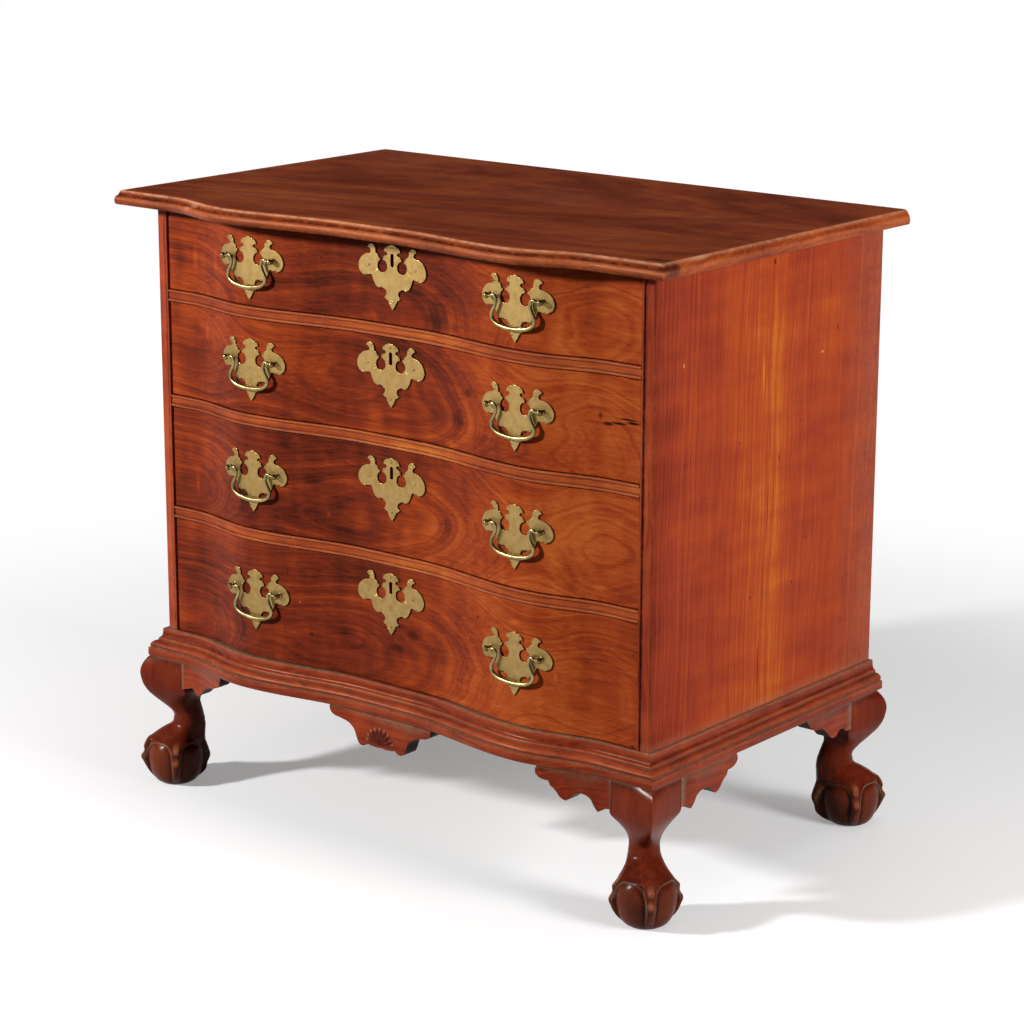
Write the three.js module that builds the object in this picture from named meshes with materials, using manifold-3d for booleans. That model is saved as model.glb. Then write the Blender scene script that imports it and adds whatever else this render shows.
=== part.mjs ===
// Chest of four drawers with a reverse-serpentine front, claw-and-ball feet and batwing brasses.
// Units are millimetres. X runs to the right of someone facing the front, Y to the back, Z up.
// The construction stands on the floor with its front corner posts' faces on the plane Y = 0,
// and the whole group is moved at the end so that its origin is at the middle of its footprint.
import * as THREE from 'three';
import { mergeVertices } from 'three/addons/utils/BufferGeometryUtils.js';
import Module from 'manifold-3d';

const wasm = await Module();
wasm.setup();

// Clearances, cutting and welding
const GAP = 0.3;
const OVERRUN = 4;
const WELD_TOLERANCE = 0.0001;

// Case
const CASE_WIDTH = 838;
const CASE_DEPTH = 501;
const SIDE_THICKNESS = 19;
const LEG_HEIGHT = 186;
const OPENING_HEIGHTS = [114.8, 129.7, 141.2, 163.3];
const RAIL_THICKNESS = 16.5;
const RAIL_DEPTH = 75;
const RUNNER_WIDTH = 50;
const HOUSING_DEPTH = 6;
const HOUSING_SET_BACK = 15;
const BOTTOM_THICKNESS = 19;
const BACK_THICKNESS = 12;
const BACK_RABBET = 9;
const BACK_SEAM_SHARE = 0.52;
const BEAD_WIDTH = 4;
const BEAD_PROUD = 2;

// Reverse-serpentine front: two bulges and a hollow, placed by shares of the case's half width
const BULGE_DEPTH = 21;
const HOLLOW_DEPTH = 2;
const HOLLOW_END_SHARE = 0.1;
const BULGE_PEAK_SHARE = 0.56;
const BULGE_END_SHARE = 0.86;
const CURVE_SLICES = 28;

// Top
const TOP_THICKNESS = 19.5;
const TOP_SIDE_OVERHANG = 40;
const TOP_FRONT_OVERHANG = 41;
const TOP_BULGE_DEPTH = 27;
const TOP_MIDDLE_DEPTH = 8;
const TOP_EDGE_INSET = 8;
const topEdgeShares = [
  [0.36, 0],
  [0.08, 0.1],
  [0, 0.3],
  [0.06, 0.5],
  [0.32, 0.6],
  [0.74, 0.68],
  [0.86, 0.84],
  [1, 1],
];

// Base moulding, with its section as shares of projection and height; the sides stand out less
const MOULDING_FRONT_PROJECTION = 24;
const MOULDING_LEFT_PROJECTION = 18;
const MOULDING_RIGHT_PROJECTION = 22.5;
const MOULDING_HEIGHT = 38;
const mouldingShares = [
  [0.27, 1],
  [0.29, 0.87],
  [0.4, 0.7],
  [0.64, 0.63],
  [0.84, 0.56],
  [0.94, 0.44],
  [0.9, 0.31],
  [1, 0.26],
  [1, 0],
];

// Claw-and-ball legs
const LEG_BLOCK = 72;
const LEG_INSET = 1.5;
const REAR_SET_IN = 33;
const BALL_RADIUS = 40.5;
const BALL_INSET = 33;
const ANKLE_CENTRE_INSET = 53;
const ANKLE_BASE_HEIGHT = 92;
const REAR_HEEL = 5;
const HEEL_END_SHARE = 0.5;
const ringAngles = [0, 16, 34, 56, 74];
const SHOULDER_SHARE = 0.45;
// Foot rows: height, then the front, side and back toes' reach and the ball's or the web's,
// all as shares of the ball's radius, and last how far the row's centre has moved to the ankle's
const footShares = [
  [0, 0.44, 0.44, 0.44, 0.36, 0],
  [0.1, 0.67, 0.69, 0.7, 0.53, 0],
  [0.3, 0.93, 0.92, 0.97, 0.76, 0],
  [0.62, 1.08, 1.07, 1.09, 0.94, 0],
  [0.96, 1.22, 1.18, 1.2, 1, 0],
  [1.24, 1.12, 1.08, 1.1, 0.96, 0],
  [1.48, 1.06, 0.97, 1.02, 0.85, 0],
  [1.63, 0.96, 0.85, 0.94, 0.73, 0.2],
  [1.78, 0.88, 0.71, 0.84, 0.68, 0.4],
  [1.93, 0.76, 0.62, 0.73, 0.6, 0.65],
  [2.07, 0.63, 0.55, 0.63, 0.52, 0.86],
];
// Leg rows: share of the height above the foot, then the outer arris, the inner arris, the half
// width and its place from the block's outer corner, as shares of the block, and the roundness
const legShares = [
  [0, -0.424, -1.035, 0.278, -0.73, 1.8],
  [0.096, -0.424, -1.01, 0.275, -0.715, 1.7],
  [0.192, -0.31, -0.98, 0.295, -0.66, 1.5],
  [0.299, -0.139, -0.96, 0.36, -0.62, 1.28],
  [0.406, 0.014, -1.04, 0.475, -0.62, 1.12],
  [0.512, 0.118, -1.18, 0.61, -0.66, 1.05],
  [0.64, 0.18, -1.33, 0.695, -0.7, 1],
  [0.757, 0.197, -1.414, 0.707, -0.707, 1],
  [0.885, 0.136, -1.414, 0.707, -0.707, 1],
  [1, 0, -1.414, 0.707, -0.707, 1],
];

// Knee brackets: outlines from the leg outwards, as shares of length and drop, each cut by eye
const BRACKET_LENGTH_FRONT_LEFT = 79;
const BRACKET_LENGTH_FRONT_RIGHT = 97;
const BRACKET_LENGTH_SIDE = 112;
const BRACKET_LENGTH_REAR = 98;
const BRACKET_DROP = 46;
const BRACKET_THICKNESS = 22;
const bracketShares = [
  [0, 0],
  [0, 0.84],
  [0.05, 0.94],
  [0.1, 1],
  [0.165, 0.88],
  [0.22, 0.7],
  [0.3, 0.61],
  [0.405, 0.6],
  [0.5, 0.74],
  [0.575, 0.87],
  [0.65, 0.8],
  [0.71, 0.64],
  [0.79, 0.5],
  [0.815, 0.37],
  [0.92, 0.34],
  [0.99, 0.23],
  [1, 0.12],
  [0.98, 0],
];
const leftBracketShares = [
  [0, 0],
  [0, 0.82],
  [0.14, 0.69],
  [0.206, 0.8],
  [0.262, 0.9],
  [0.385, 0.77],
  [0.48, 0.62],
  [0.61, 0.5],
  [0.74, 0.45],
  [0.91, 0.34],
  [0.98, 0.17],
  [1, 0],
];
const rearBracketShares = [
  [0, 0],
  [0, 0.84],
  [0.04, 0.81],
  [0.1, 0.71],
  [0.16, 0.7],
  [0.21, 0.73],
  [0.27, 0.84],
  [0.36, 0.85],
  [0.43, 0.76],
  [0.53, 0.56],
  [0.62, 0.43],
  [0.74, 0.4],
  [0.84, 0.35],
  [0.95, 0.14],
  [1, 0],
];

// Pendant under the middle of the front: half outline as shares of half width and drop
const PENDANT_HALF_WIDTH = 88;
const PENDANT_DROP = 46;
const PENDANT_THICKNESS = 24;
const MIDDLE_SHIFT = -3;
const pendantShares = [
  [1, 0],
  [0.98, 0.17],
  [0.92, 0.27],
  [0.8, 0.32],
  [0.65, 0.4],
  [0.54, 0.57],
  [0.49, 0.8],
  [0.44, 0.96],
  [0.38, 1],
  [0.32, 0.97],
  [0.28, 0.9],
  [0.17, 0.94],
  [0, 0.93],
];

// Drawers
const DRAWER_SIDE_GAP = 1;
const DRAWER_FOOT_GAP = 0.8;
const DRAWER_HEAD_GAP = 1.2;
const DRAWER_SET_BACK = 1;
const FRONT_INNER_FACE = 24;
const BOX_THICKNESS = 11;
const BOX_SIDE_GAP = 2;
const BOX_HEAD_DROP = 6;
const BOX_BACK_CLEARANCE = 11;
const PANEL_THICKNESS = 9;
const PANEL_HEIGHT = 8;
const GROOVE_DEPTH = 5;

// Locks
const LOCK_WIDTH = 64;
const LOCK_HEIGHT = 44;
const LOCK_PLATE = 2.5;
const LOCK_CASE_DEPTH = 9;
const LOCK_MARGIN = 6;
const LOCK_HEAD_DROP = 2;
const BOLT_WIDTH = 18;
const BOLT_DEPTH = 5;

// Brasses: plates bent to the front, with their half outline in shares of half width and half height
const PLATE_HALF_WIDTH = 57;
const PLATE_HALF_HEIGHT = 42;
const PLATE_THICKNESS = 1.8;
const PLATE_EYE_RADIUS = 8.2;
const PLATE_WING_RADIUS = 13;
const PULL_SPREAD = 225;
const PULL_DROPS = [6.3, 4, 4, 0.5];
const ESCUTCHEON_DROPS = [53.5, 50, 54.5, 52];
const ESCUTCHEON_SHIFTS = [3, -1, -1, -4];
const KEYHOLE_WIDTH = 5.4;
const KEYHOLE_LENGTH = 17;
const KEYHOLE_RISE = 22;

// Posts and bails
const POST_SPREAD = 42;
const POST_RISE = 13;
const POST_STANDOFF = 3.9;
const POST_RADIUS = 2.8;
const POST_HEAD_RADIUS = 3.6;
const POST_SIDES = 8;
const BAIL_DROP = 37.5;
const BAIL_HALF_WIDTH = 34;
const BAIL_PIN_RADIUS = 1.6;
const BORE_PAST_MIDDLE = 1.5;
const BAIL_NECK_RADIUS = 2.1;
const BAIL_GRIP_RADIUS = 3.1;
const BAIL_SIDES = 6;
const BAIL_STEPS = 18;
const PIN_CLEARANCE = 0.4;
// Bail route from the post inwards, down and to the middle: shares of half width and drop
const bailShares = [
  [1.02, 0.01],
  [0.93, 0.03],
  [0.8, 0],
  [0.735, -0.14],
  [0.86, -0.37],
  [1, -0.6],
  [0.92, -0.82],
  [0.6, -0.96],
  [0, -1],
];

// Values worked out from the sizes above
const CASE_HALF = CASE_WIDTH / 2;
const OPENING_HALF = CASE_HALF - SIDE_THICKNESS;
const BASE_TOP = LEG_HEIGHT + MOULDING_HEIGHT;
const OPENING_COUNT = OPENING_HEIGHTS.length;
const openingFloors = OPENING_HEIGHTS.map((_, index) => {
  const below = OPENING_HEIGHTS.slice(index + 1);
  return below.reduce((sum, height) => sum + height + RAIL_THICKNESS, BASE_TOP);
});
const TOP_UNDERSIDE = openingFloors[0] + OPENING_HEIGHTS[0];
const BACK_FACE = CASE_DEPTH - BACK_THICKNESS;
const sideProjection = (side) => (side < 0 ? MOULDING_LEFT_PROJECTION : MOULDING_RIGHT_PROJECTION);
const FRONT_REACH = MOULDING_FRONT_PROJECTION - LEG_INSET;
const sideReach = (side) => sideProjection(side) - LEG_INSET;
const FACE_OF_DRAWER = DRAWER_SET_BACK;

// Woods and metals
const finish = (color, roughness, metalness) => ({ color, roughness, metalness });
const MAHOGANY_TOP = finish(0x5c2a18, 0.38, 0);
const MAHOGANY_FRONT = finish(0x8a3a1c, 0.36, 0);
const MAHOGANY_SIDE = finish(0x9c4628, 0.42, 0);
const MAHOGANY_TRIM = finish(0x7e3420, 0.36, 0);
const MAHOGANY_CARVED = finish(0x5a2416, 0.34, 0);
const PINE_INSIDE = finish(0xb08a58, 0.7, 0);
const AGED_BRASS = finish(0xb59a52, 0.34, 1);
const DARK_BRASS = finish(0x8f7a45, 0.3, 1);
const LOCK_IRON = finish(0x5e564c, 0.5, 1);

// Solids and meshes

function facingOut(geometry) {
  const index = geometry.index.array;
  const position = geometry.attributes.position;
  const corner = [new THREE.Vector3(), new THREE.Vector3(), new THREE.Vector3()];
  let volume = 0;
  for (let face = 0; face < index.length; face += 3) {
    corner.forEach((point, side) => point.fromBufferAttribute(position, index[face + side]));
    volume += corner[0].dot(corner[1].clone().cross(corner[2]));
  }
  if (volume < 0) {
    for (let face = 0; face < index.length; face += 3) {
      [index[face + 1], index[face + 2]] = [index[face + 2], index[face + 1]];
    }
  }
  return geometry;
}

function solidOf(geometry) {
  const bare = geometry.clone();
  bare.deleteAttribute('normal');
  bare.deleteAttribute('uv');
  const welded = mergeVertices(bare, WELD_TOLERANCE);
  const vertProperties = new Float32Array(welded.attributes.position.array);
  const triVerts = new Uint32Array(welded.index.array);
  return new wasm.Manifold(new wasm.Mesh({ numProp: 3, vertProperties, triVerts }));
}

function geometryOf(solid) {
  const { vertProperties, triVerts } = solid.getMesh();
  const geometry = new THREE.BufferGeometry();
  geometry.setAttribute('position', new THREE.BufferAttribute(vertProperties, 3));
  geometry.setIndex(new THREE.BufferAttribute(triVerts, 1));
  return geometry;
}

function cut(geometry, ...tools) {
  return geometryOf(tools.reduce((rest, tool) => rest.subtract(solidOf(tool)), solidOf(geometry)));
}

function join(geometry, ...others) {
  return geometryOf(others.reduce((whole, other) => whole.add(solidOf(other)), solidOf(geometry)));
}

function common(geometry, other) {
  return geometryOf(solidOf(geometry).intersect(solidOf(other)));
}

function piece(name, geometry, look) {
  const material = new THREE.MeshStandardMaterial(look);
  geometry.computeVertexNormals();
  const mesh = new THREE.Mesh(geometry, material);
  mesh.name = name;
  return mesh;
}

// A box between two limits along each axis
function block([left, right], [front, back], [low, high]) {
  const geometry = new THREE.BoxGeometry(right - left, back - front, high - low);
  return geometry.translate((left + right) / 2, (front + back) / 2, (low + high) / 2);
}

// A closed solid through rings of equally many points; flat gives a ring point's place in its cap
function loft(rings, flat) {
  const count = rings[0].length;
  const faces = [];
  for (let ring = 0; ring + 1 < rings.length; ring += 1) {
    for (let side = 0; side < count; side += 1) {
      const here = ring * count + side;
      const next = ring * count + ((side + 1) % count);
      faces.push(here, next, next + count, here, next + count, here + count);
    }
  }
  const lastStart = (rings.length - 1) * count;
  const lastFlat = rings[rings.length - 1].map(flat);
  const firstFlat = rings[0].map(flat);
  const turned = THREE.ShapeUtils.area(firstFlat) < 0;
  const order = ([a, b, c]) => (turned ? [a, c, b] : [a, b, c]);
  THREE.ShapeUtils.triangulateShape(firstFlat, []).forEach((face) => {
    const [a, b, c] = order(face);
    faces.push(a, c, b);
  });
  THREE.ShapeUtils.triangulateShape(lastFlat, []).forEach((face) => {
    const [a, b, c] = order(face);
    faces.push(lastStart + a, lastStart + b, lastStart + c);
  });
  const geometry = new THREE.BufferGeometry();
  const positions = rings.flat().flatMap((point) => point.toArray());
  geometry.setAttribute('position', new THREE.Float32BufferAttribute(positions, 3));
  geometry.setIndex(faces);
  return facingOut(geometry);
}

const flatAcross = (point) => new THREE.Vector2(point.y, point.z);
const flatLevel = (point) => new THREE.Vector2(point.x, point.y);

// A flat outline in X and Z, extruded along Y from front to back
function plateSolid(outline, front, back) {
  const shape = new THREE.Shape(outline);
  const geometry = new THREE.ExtrudeGeometry(shape, { depth: back - front, bevelEnabled: false });
  return geometry.rotateX(Math.PI / 2).translate(0, back, 0);
}

// A flat outline in Y and Z, extruded along X from left to right
function sideSolid(outline, left, right) {
  const shape = new THREE.Shape(outline);
  const geometry = new THREE.ExtrudeGeometry(shape, { depth: right - left, bevelEnabled: false });
  const turn = new THREE.Matrix4().makeBasis(
    new THREE.Vector3(0, 1, 0),
    new THREE.Vector3(0, 0, 1),
    new THREE.Vector3(1, 0, 0),
  );
  return geometry.applyMatrix4(turn).translate(left, 0, 0);
}

// A flat outline in X and Y, extruded upwards
function planSolid(outline, low, high) {
  const shape = new THREE.Shape(outline);
  const geometry = new THREE.ExtrudeGeometry(shape, { depth: high - low, bevelEnabled: false });
  return geometry.translate(0, 0, low);
}

const mirrored = (outline) => outline.map((point) => new THREE.Vector2(-point.x, point.y)).reverse();

// Serpentine front

const halfWave = (turn) => (1 - Math.cos(Math.PI * turn)) / 2;

// Depth of a serpentine line at x: middle stands at the centre line, minus bulge at the peaks, 0 outside
function serpentine(x, middle, bulge) {
  const across = Math.abs(x) / CASE_HALF;
  if (across <= HOLLOW_END_SHARE) {
    return middle;
  }
  if (across <= BULGE_PEAK_SHARE) {
    const turn = (across - HOLLOW_END_SHARE) / (BULGE_PEAK_SHARE - HOLLOW_END_SHARE);
    return middle - (middle + bulge) * halfWave(turn);
  }
  if (across <= BULGE_END_SHARE) {
    const turn = (across - BULGE_PEAK_SHARE) / (BULGE_END_SHARE - BULGE_PEAK_SHARE);
    return -bulge * (1 - halfWave(turn));
  }
  return 0;
}

const SLICE_WIDTH = (2 * OPENING_HALF) / CURVE_SLICES;
const stations = Array.from({ length: CURVE_SLICES + 1 }, (_, index) => index * SLICE_WIDTH - OPENING_HALF);

// Front plane's depth at x, straight between two stations, so that all front pieces share facets
function frontAt(x) {
  const place = (x + OPENING_HALF) / SLICE_WIDTH;
  if (place <= 0 || place >= CURVE_SLICES) {
    return serpentine(x, HOLLOW_DEPTH, BULGE_DEPTH);
  }
  const index = Math.floor(place);
  const left = serpentine(stations[index], HOLLOW_DEPTH, BULGE_DEPTH);
  const right = serpentine(stations[index + 1], HOLLOW_DEPTH, BULGE_DEPTH);
  return THREE.MathUtils.lerp(left, right, place - index);
}

function slices(from, to) {
  return [from, ...stations.filter((x) => x > from + GAP && x < to - GAP), to];
}

// A section carried along the front; each section point has its depth, height and how far it follows
function frontSweep(from, to, section) {
  const rings = slices(from, to).map((x) => {
    const face = frontAt(x);
    return section.map(([depth, height, follows]) => new THREE.Vector3(x, depth + follows * face, height));
  });
  return loft(rings, flatAcross);
}

// A sheet that follows the front between two depths and two heights
function frontSheet([from, to], [near, far], [low, high]) {
  return frontSweep(from, to, [[near, low, 1], [far, low, 1], [far, high, 1], [near, high, 1]]);
}

// Case

function makeTop() {
  const half = CASE_HALF + TOP_SIDE_OVERHANG;
  const spots = slices(-half, half).map((x) => x / half);
  const rings = topEdgeShares.map(([insetShare, heightShare]) => {
    const inset = insetShare * TOP_EDGE_INSET;
    const z = TOP_UNDERSIDE + heightShare * TOP_THICKNESS;
    const front = spots.map((spot) => {
      const wave = serpentine(spot * half, -TOP_MIDDLE_DEPTH, TOP_BULGE_DEPTH);
      return new THREE.Vector3(spot * (half - inset), inset - TOP_FRONT_OVERHANG + wave, z);
    });
    const backRight = new THREE.Vector3(half - inset, CASE_DEPTH, z);
    const backLeft = new THREE.Vector3(inset - half, CASE_DEPTH, z);
    return [...front, backRight, backLeft];
  });
  return loft(rings, flatLevel);
}

const housingDepth = [HOUSING_SET_BACK + GAP, BACK_FACE - GAP];
const housingReach = OPENING_HALF + HOUSING_DEPTH - GAP;
const dividerHeights = openingFloors.slice(0, -1).map((floor) => [floor - RAIL_THICKNESS, floor]);
const bottomHeights = [BASE_TOP - BOTTOM_THICKNESS, BASE_TOP];

// A side board with its beaded front edge, the back's rabbet and the housings of what it holds
function makeSide(side) {
  const outer = CASE_HALF;
  const inner = OPENING_HALF;
  const outline = [
    [outer, 0],
    [outer, CASE_DEPTH],
    [inner + BACK_RABBET, CASE_DEPTH],
    [inner + BACK_RABBET, BACK_FACE],
    [inner, BACK_FACE],
    [inner, 0],
    [inner + BEAD_WIDTH / 4, -BEAD_PROUD],
    [inner + (BEAD_WIDTH * 3) / 4, -BEAD_PROUD],
    [inner + BEAD_WIDTH, 0],
  ].map(([x, y]) => new THREE.Vector2(x, y));
  const beadFoot = BASE_TOP + GAP;
  const board = planSolid(side < 0 ? mirrored(outline) : outline, LEG_HEIGHT, TOP_UNDERSIDE - GAP);
  const reach = inner + HOUSING_DEPTH;
  const across = side < 0 ? [-reach, OVERRUN - inner] : [inner - OVERRUN, reach];
  const housings = [...dividerHeights, bottomHeights].map(([low, high]) => (
    block(across, [HOUSING_SET_BACK, BACK_FACE + OVERRUN], [low - GAP, high + GAP])
  ));
  const beadCut = block(
    [-outer - OVERRUN, outer + OVERRUN],
    [-BEAD_PROUD - OVERRUN, 0],
    [LEG_HEIGHT - OVERRUN, beadFoot],
  );
  return cut(board, ...housings, beadCut);
}

// A beaded rail across the front, joined to the runners that carry the drawer above it
function makeDivider([low, high]) {
  const end = OPENING_HALF - GAP;
  const beadNear = -BEAD_PROUD;
  const rail = frontSweep(-end, end, [
    [RAIL_DEPTH, low, 0],
    [0, low, 1],
    [beadNear, low + BEAD_WIDTH / 4, 1],
    [beadNear, low + (BEAD_WIDTH * 3) / 4, 1],
    [0, low + BEAD_WIDTH, 1],
    [0, high - BEAD_WIDTH, 1],
    [beadNear, high - (BEAD_WIDTH * 3) / 4, 1],
    [beadNear, high - BEAD_WIDTH / 4, 1],
    [0, high, 1],
    [RAIL_DEPTH, high, 0],
  ]);
  const runnerInner = OPENING_HALF - RUNNER_WIDTH;
  const right = block([runnerInner, housingReach], housingDepth, [low, high]);
  const left = block([-housingReach, -runnerInner], housingDepth, [low, high]);
  return join(rail, left, right);
}

function makeBottom() {
  return block([-housingReach, housingReach], housingDepth, bottomHeights);
}

function makeBackBoard(low, high) {
  const reach = OPENING_HALF + BACK_RABBET - GAP;
  return block([-reach, reach], [BACK_FACE + GAP, CASE_DEPTH], [low, high]);
}

// Base moulding, mitred at the front corners

function mouldingLine(projection) {
  return mouldingShares.map(([reach, height]) => [
    reach * projection,
    LEG_HEIGHT + height * MOULDING_HEIGHT,
  ]);
}

// A wedge on one side of the mitre, from the case's corner outwards
function mitreWedge(side, ofFront) {
  const stretch = 1 + OVERRUN / MOULDING_FRONT_PROJECTION;
  const out = sideProjection(side) * stretch;
  const forward = MOULDING_FRONT_PROJECTION * stretch;
  const start = CASE_HALF + (ofFront ? GAP : 0);
  const far = ofFront ? [CASE_HALF - OVERRUN, -forward] : [start + out + OVERRUN, OVERRUN];
  const near = ofFront ? [CASE_HALF - OVERRUN, 0] : [start, OVERRUN];
  const outline = [[start, 0], [start + out, -forward], far, near].map(([x, y]) => new THREE.Vector2(x, y));
  return planSolid(side < 0 ? mirrored(outline) : outline, LEG_HEIGHT - OVERRUN, BASE_TOP + OVERRUN);
}

function makeFrontMoulding() {
  const ends = [-CASE_HALF - MOULDING_LEFT_PROJECTION, CASE_HALF + MOULDING_RIGHT_PROJECTION];
  const back = HOUSING_SET_BACK;
  const section = [
    [back, LEG_HEIGHT, 0],
    [back, BASE_TOP, 0],
    ...mouldingLine(MOULDING_FRONT_PROJECTION).map(([projection, height]) => [-projection, height, 1]),
  ];
  const behindSides = [-1, 1].map((side) => {
    const near = OPENING_HALF - GAP;
    const far = CASE_HALF + sideProjection(side) + OVERRUN;
    const across = side < 0 ? [-far, -near] : [near, far];
    return block(across, [-GAP, back + OVERRUN], [LEG_HEIGHT - OVERRUN, BASE_TOP + OVERRUN]);
  });
  return cut(frontSweep(...ends, section), ...behindSides, mitreWedge(-1, false), mitreWedge(1, false));
}

function makeSideMoulding(side) {
  const near = CASE_HALF + GAP;
  const outline = [
    [near, LEG_HEIGHT],
    [near, BASE_TOP],
    ...mouldingLine(sideProjection(side)).map(([projection, height]) => [CASE_HALF + projection, height]),
  ].map(([x, z]) => new THREE.Vector2(x, z));
  const reach = MOULDING_FRONT_PROJECTION + OVERRUN / 2;
  const strip = plateSolid(side < 0 ? mirrored(outline) : outline, -reach, CASE_DEPTH);
  return cut(strip, mitreWedge(side, true));
}

// Claw-and-ball leg: rings from the floor to the case, in the leg's own frame,
// where X runs outwards along the leg's diagonal from the block's outer corner

function ballRing([height, front, side, back, web, toAnkle], heel) {
  const reach = { front, side, back: back + heel / BALL_RADIUS };
  const centre = -THREE.MathUtils.lerp(BALL_INSET, ANKLE_CENTRE_INSET, toAnkle);
  const quarters = [['front', 'side'], ['side', 'back'], ['back', 'side'], ['side', 'front']];
  return quarters.flatMap(([from, to], quarter) => ringAngles.map((degrees, spot) => {
    const shoulder = (share) => THREE.MathUtils.lerp(web, share, SHOULDER_SHARE);
    const radii = [reach[from], shoulder(reach[from]), web, web, shoulder(reach[to])];
    const radius = radii[spot] * BALL_RADIUS;
    const angle = THREE.MathUtils.degToRad(quarter * 90 + degrees);
    const x = centre + radius * Math.cos(angle);
    return new THREE.Vector3(x, radius * Math.sin(angle), height * BALL_RADIUS);
  }));
}

function legRing([rise, outer, inner, halfWidth, widest, roundness], heel) {
  const heelThere = (heel * Math.max(0, 1 - rise / HEEL_END_SHARE)) / LEG_BLOCK;
  const z = THREE.MathUtils.lerp(ANKLE_BASE_HEIGHT, LEG_HEIGHT - GAP, rise);
  const power = 2 / roundness;
  return [0, 1, 2, 3].flatMap((quarter) => ringAngles.map((degrees) => {
    const angle = THREE.MathUtils.degToRad(quarter * 90 + degrees);
    const along = Math.cos(angle);
    const across = Math.sin(angle);
    const reach = along > 0 ? outer - widest : widest - inner + heelThere;
    const x = widest + Math.sign(along) * reach * Math.abs(along) ** power;
    const y = Math.sign(across) * halfWidth * Math.abs(across) ** power;
    return new THREE.Vector3(x * LEG_BLOCK, y * LEG_BLOCK, z);
  }));
}

// A leg, with a rear one thicker by its heel on the side under the case
function makeLeg(heel) {
  const foot = footShares.map((row) => ballRing(row, heel));
  return loft([...foot, ...legShares.map((row) => legRing(row, heel))], flatLevel);
}

// Knee brackets and pendant

const bracketTop = LEG_HEIGHT - GAP;

function bracketOutline(shares, start, direction, length) {
  return shares.map(([along, drop]) => (
    new THREE.Vector2(start + direction * along * length, bracketTop - drop * BRACKET_DROP)
  ));
}

function makeFrontBracket(side) {
  const shares = side < 0 ? leftBracketShares : bracketShares;
  const length = side < 0 ? BRACKET_LENGTH_FRONT_LEFT : BRACKET_LENGTH_FRONT_RIGHT;
  const seam = CASE_HALF + sideReach(side) - LEG_BLOCK - GAP;
  const outline = bracketOutline(shares, side * seam, -side, length);
  const reach = BULGE_DEPTH + MOULDING_FRONT_PROJECTION + OVERRUN;
  const across = [seam - length - OVERRUN, seam + OVERRUN];
  const ordered = side < 0 ? [-across[1], -across[0]] : across;
  const heights = [bracketTop - BRACKET_DROP - OVERRUN, bracketTop + OVERRUN];
  const sheet = frontSheet(ordered, [-FRONT_REACH, BRACKET_THICKNESS - FRONT_REACH], heights);
  return common(plateSolid(outline, -reach, reach), sheet);
}

function makeSideBracket(side, shares, start, direction, length) {
  const outline = bracketOutline(shares, start, direction, length);
  const outer = CASE_HALF + sideReach(side);
  const limits = [outer - BRACKET_THICKNESS, outer];
  return side < 0 ? sideSolid(outline, -limits[1], -limits[0]) : sideSolid(outline, ...limits);
}

function makePendant() {
  const right = pendantShares.map(([across, drop]) => (
    new THREE.Vector2(across * PENDANT_HALF_WIDTH, bracketTop - drop * PENDANT_DROP)
  ));
  const left = mirrored(right.slice(0, -1));
  const outline = [...right, ...left].map((point) => point.setX(point.x + MIDDLE_SHIFT));
  const reach = PENDANT_HALF_WIDTH + OVERRUN;
  const near = -MOULDING_FRONT_PROJECTION;
  const heights = [bracketTop - PENDANT_DROP - OVERRUN, bracketTop + OVERRUN];
  const across = [MIDDLE_SHIFT - reach, MIDDLE_SHIFT + reach];
  const sheet = frontSheet(across, [near, near + PENDANT_THICKNESS], heights);
  const deep = BULGE_DEPTH + MOULDING_FRONT_PROJECTION + PENDANT_THICKNESS;
  return common(plateSolid(outline, -deep, deep), sheet);
}

// Brasses

// Right half of a plate's outline, from the finial's top down to the tip
function plateHalf() {
  const path = new THREE.Path();
  const at = (x, y) => [x * PLATE_HALF_WIDTH, y * PLATE_HALF_HEIGHT];
  const eye = at(0.293, 0.333);
  const wing = at(0.772, 0.279);
  path.moveTo(...at(0, 1));
  path.lineTo(...at(0.095, 0.943));
  path.lineTo(...at(0.228, 0.8));
  path.lineTo(...at(0.145, 0.71));
  path.lineTo(...at(0.272, 0.545));
  path.absarc(...eye, PLATE_EYE_RADIUS, 1.75, 2 * Math.PI + 1.1, false);
  path.lineTo(...at(0.36, 0.56));
  path.lineTo(...at(0.482, 0.702));
  path.quadraticCurveTo(...at(0.535, 0.92), ...at(0.62, 0.93));
  path.lineTo(...at(0.737, 0.84));
  path.lineTo(...at(0.645, 0.667));
  path.absarc(...wing, PLATE_WING_RADIUS, 1.5, -1.66, true);
  path.lineTo(...at(0.605, 0.017));
  path.quadraticCurveTo(...at(0.53, -0.36), ...at(0.303, -0.329));
  path.lineTo(...at(0.172, -0.488));
  path.lineTo(...at(0.246, -0.619));
  path.lineTo(...at(0.14, -0.726));
  path.lineTo(...at(0, -1));
  return path.getPoints(3);
}

// A plate bent to the front, its outline centred on a place in X and Z
function makePlate(centreX, centreZ) {
  const right = plateHalf();
  const left = mirrored(right.slice(1, -1));
  const outline = [...right, ...left].map((point) => point.add(new THREE.Vector2(centreX, centreZ)));
  const back = FACE_OF_DRAWER - GAP;
  const across = [centreX - PLATE_HALF_WIDTH - OVERRUN, centreX + PLATE_HALF_WIDTH + OVERRUN];
  const heights = [centreZ - PLATE_HALF_HEIGHT - OVERRUN, centreZ + PLATE_HALF_HEIGHT + OVERRUN];
  const sheet = frontSheet(across, [back - PLATE_THICKNESS, back], heights);
  const deep = BULGE_DEPTH + PLATE_THICKNESS + OVERRUN;
  return common(plateSolid(outline, -deep, deep), sheet);
}

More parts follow.
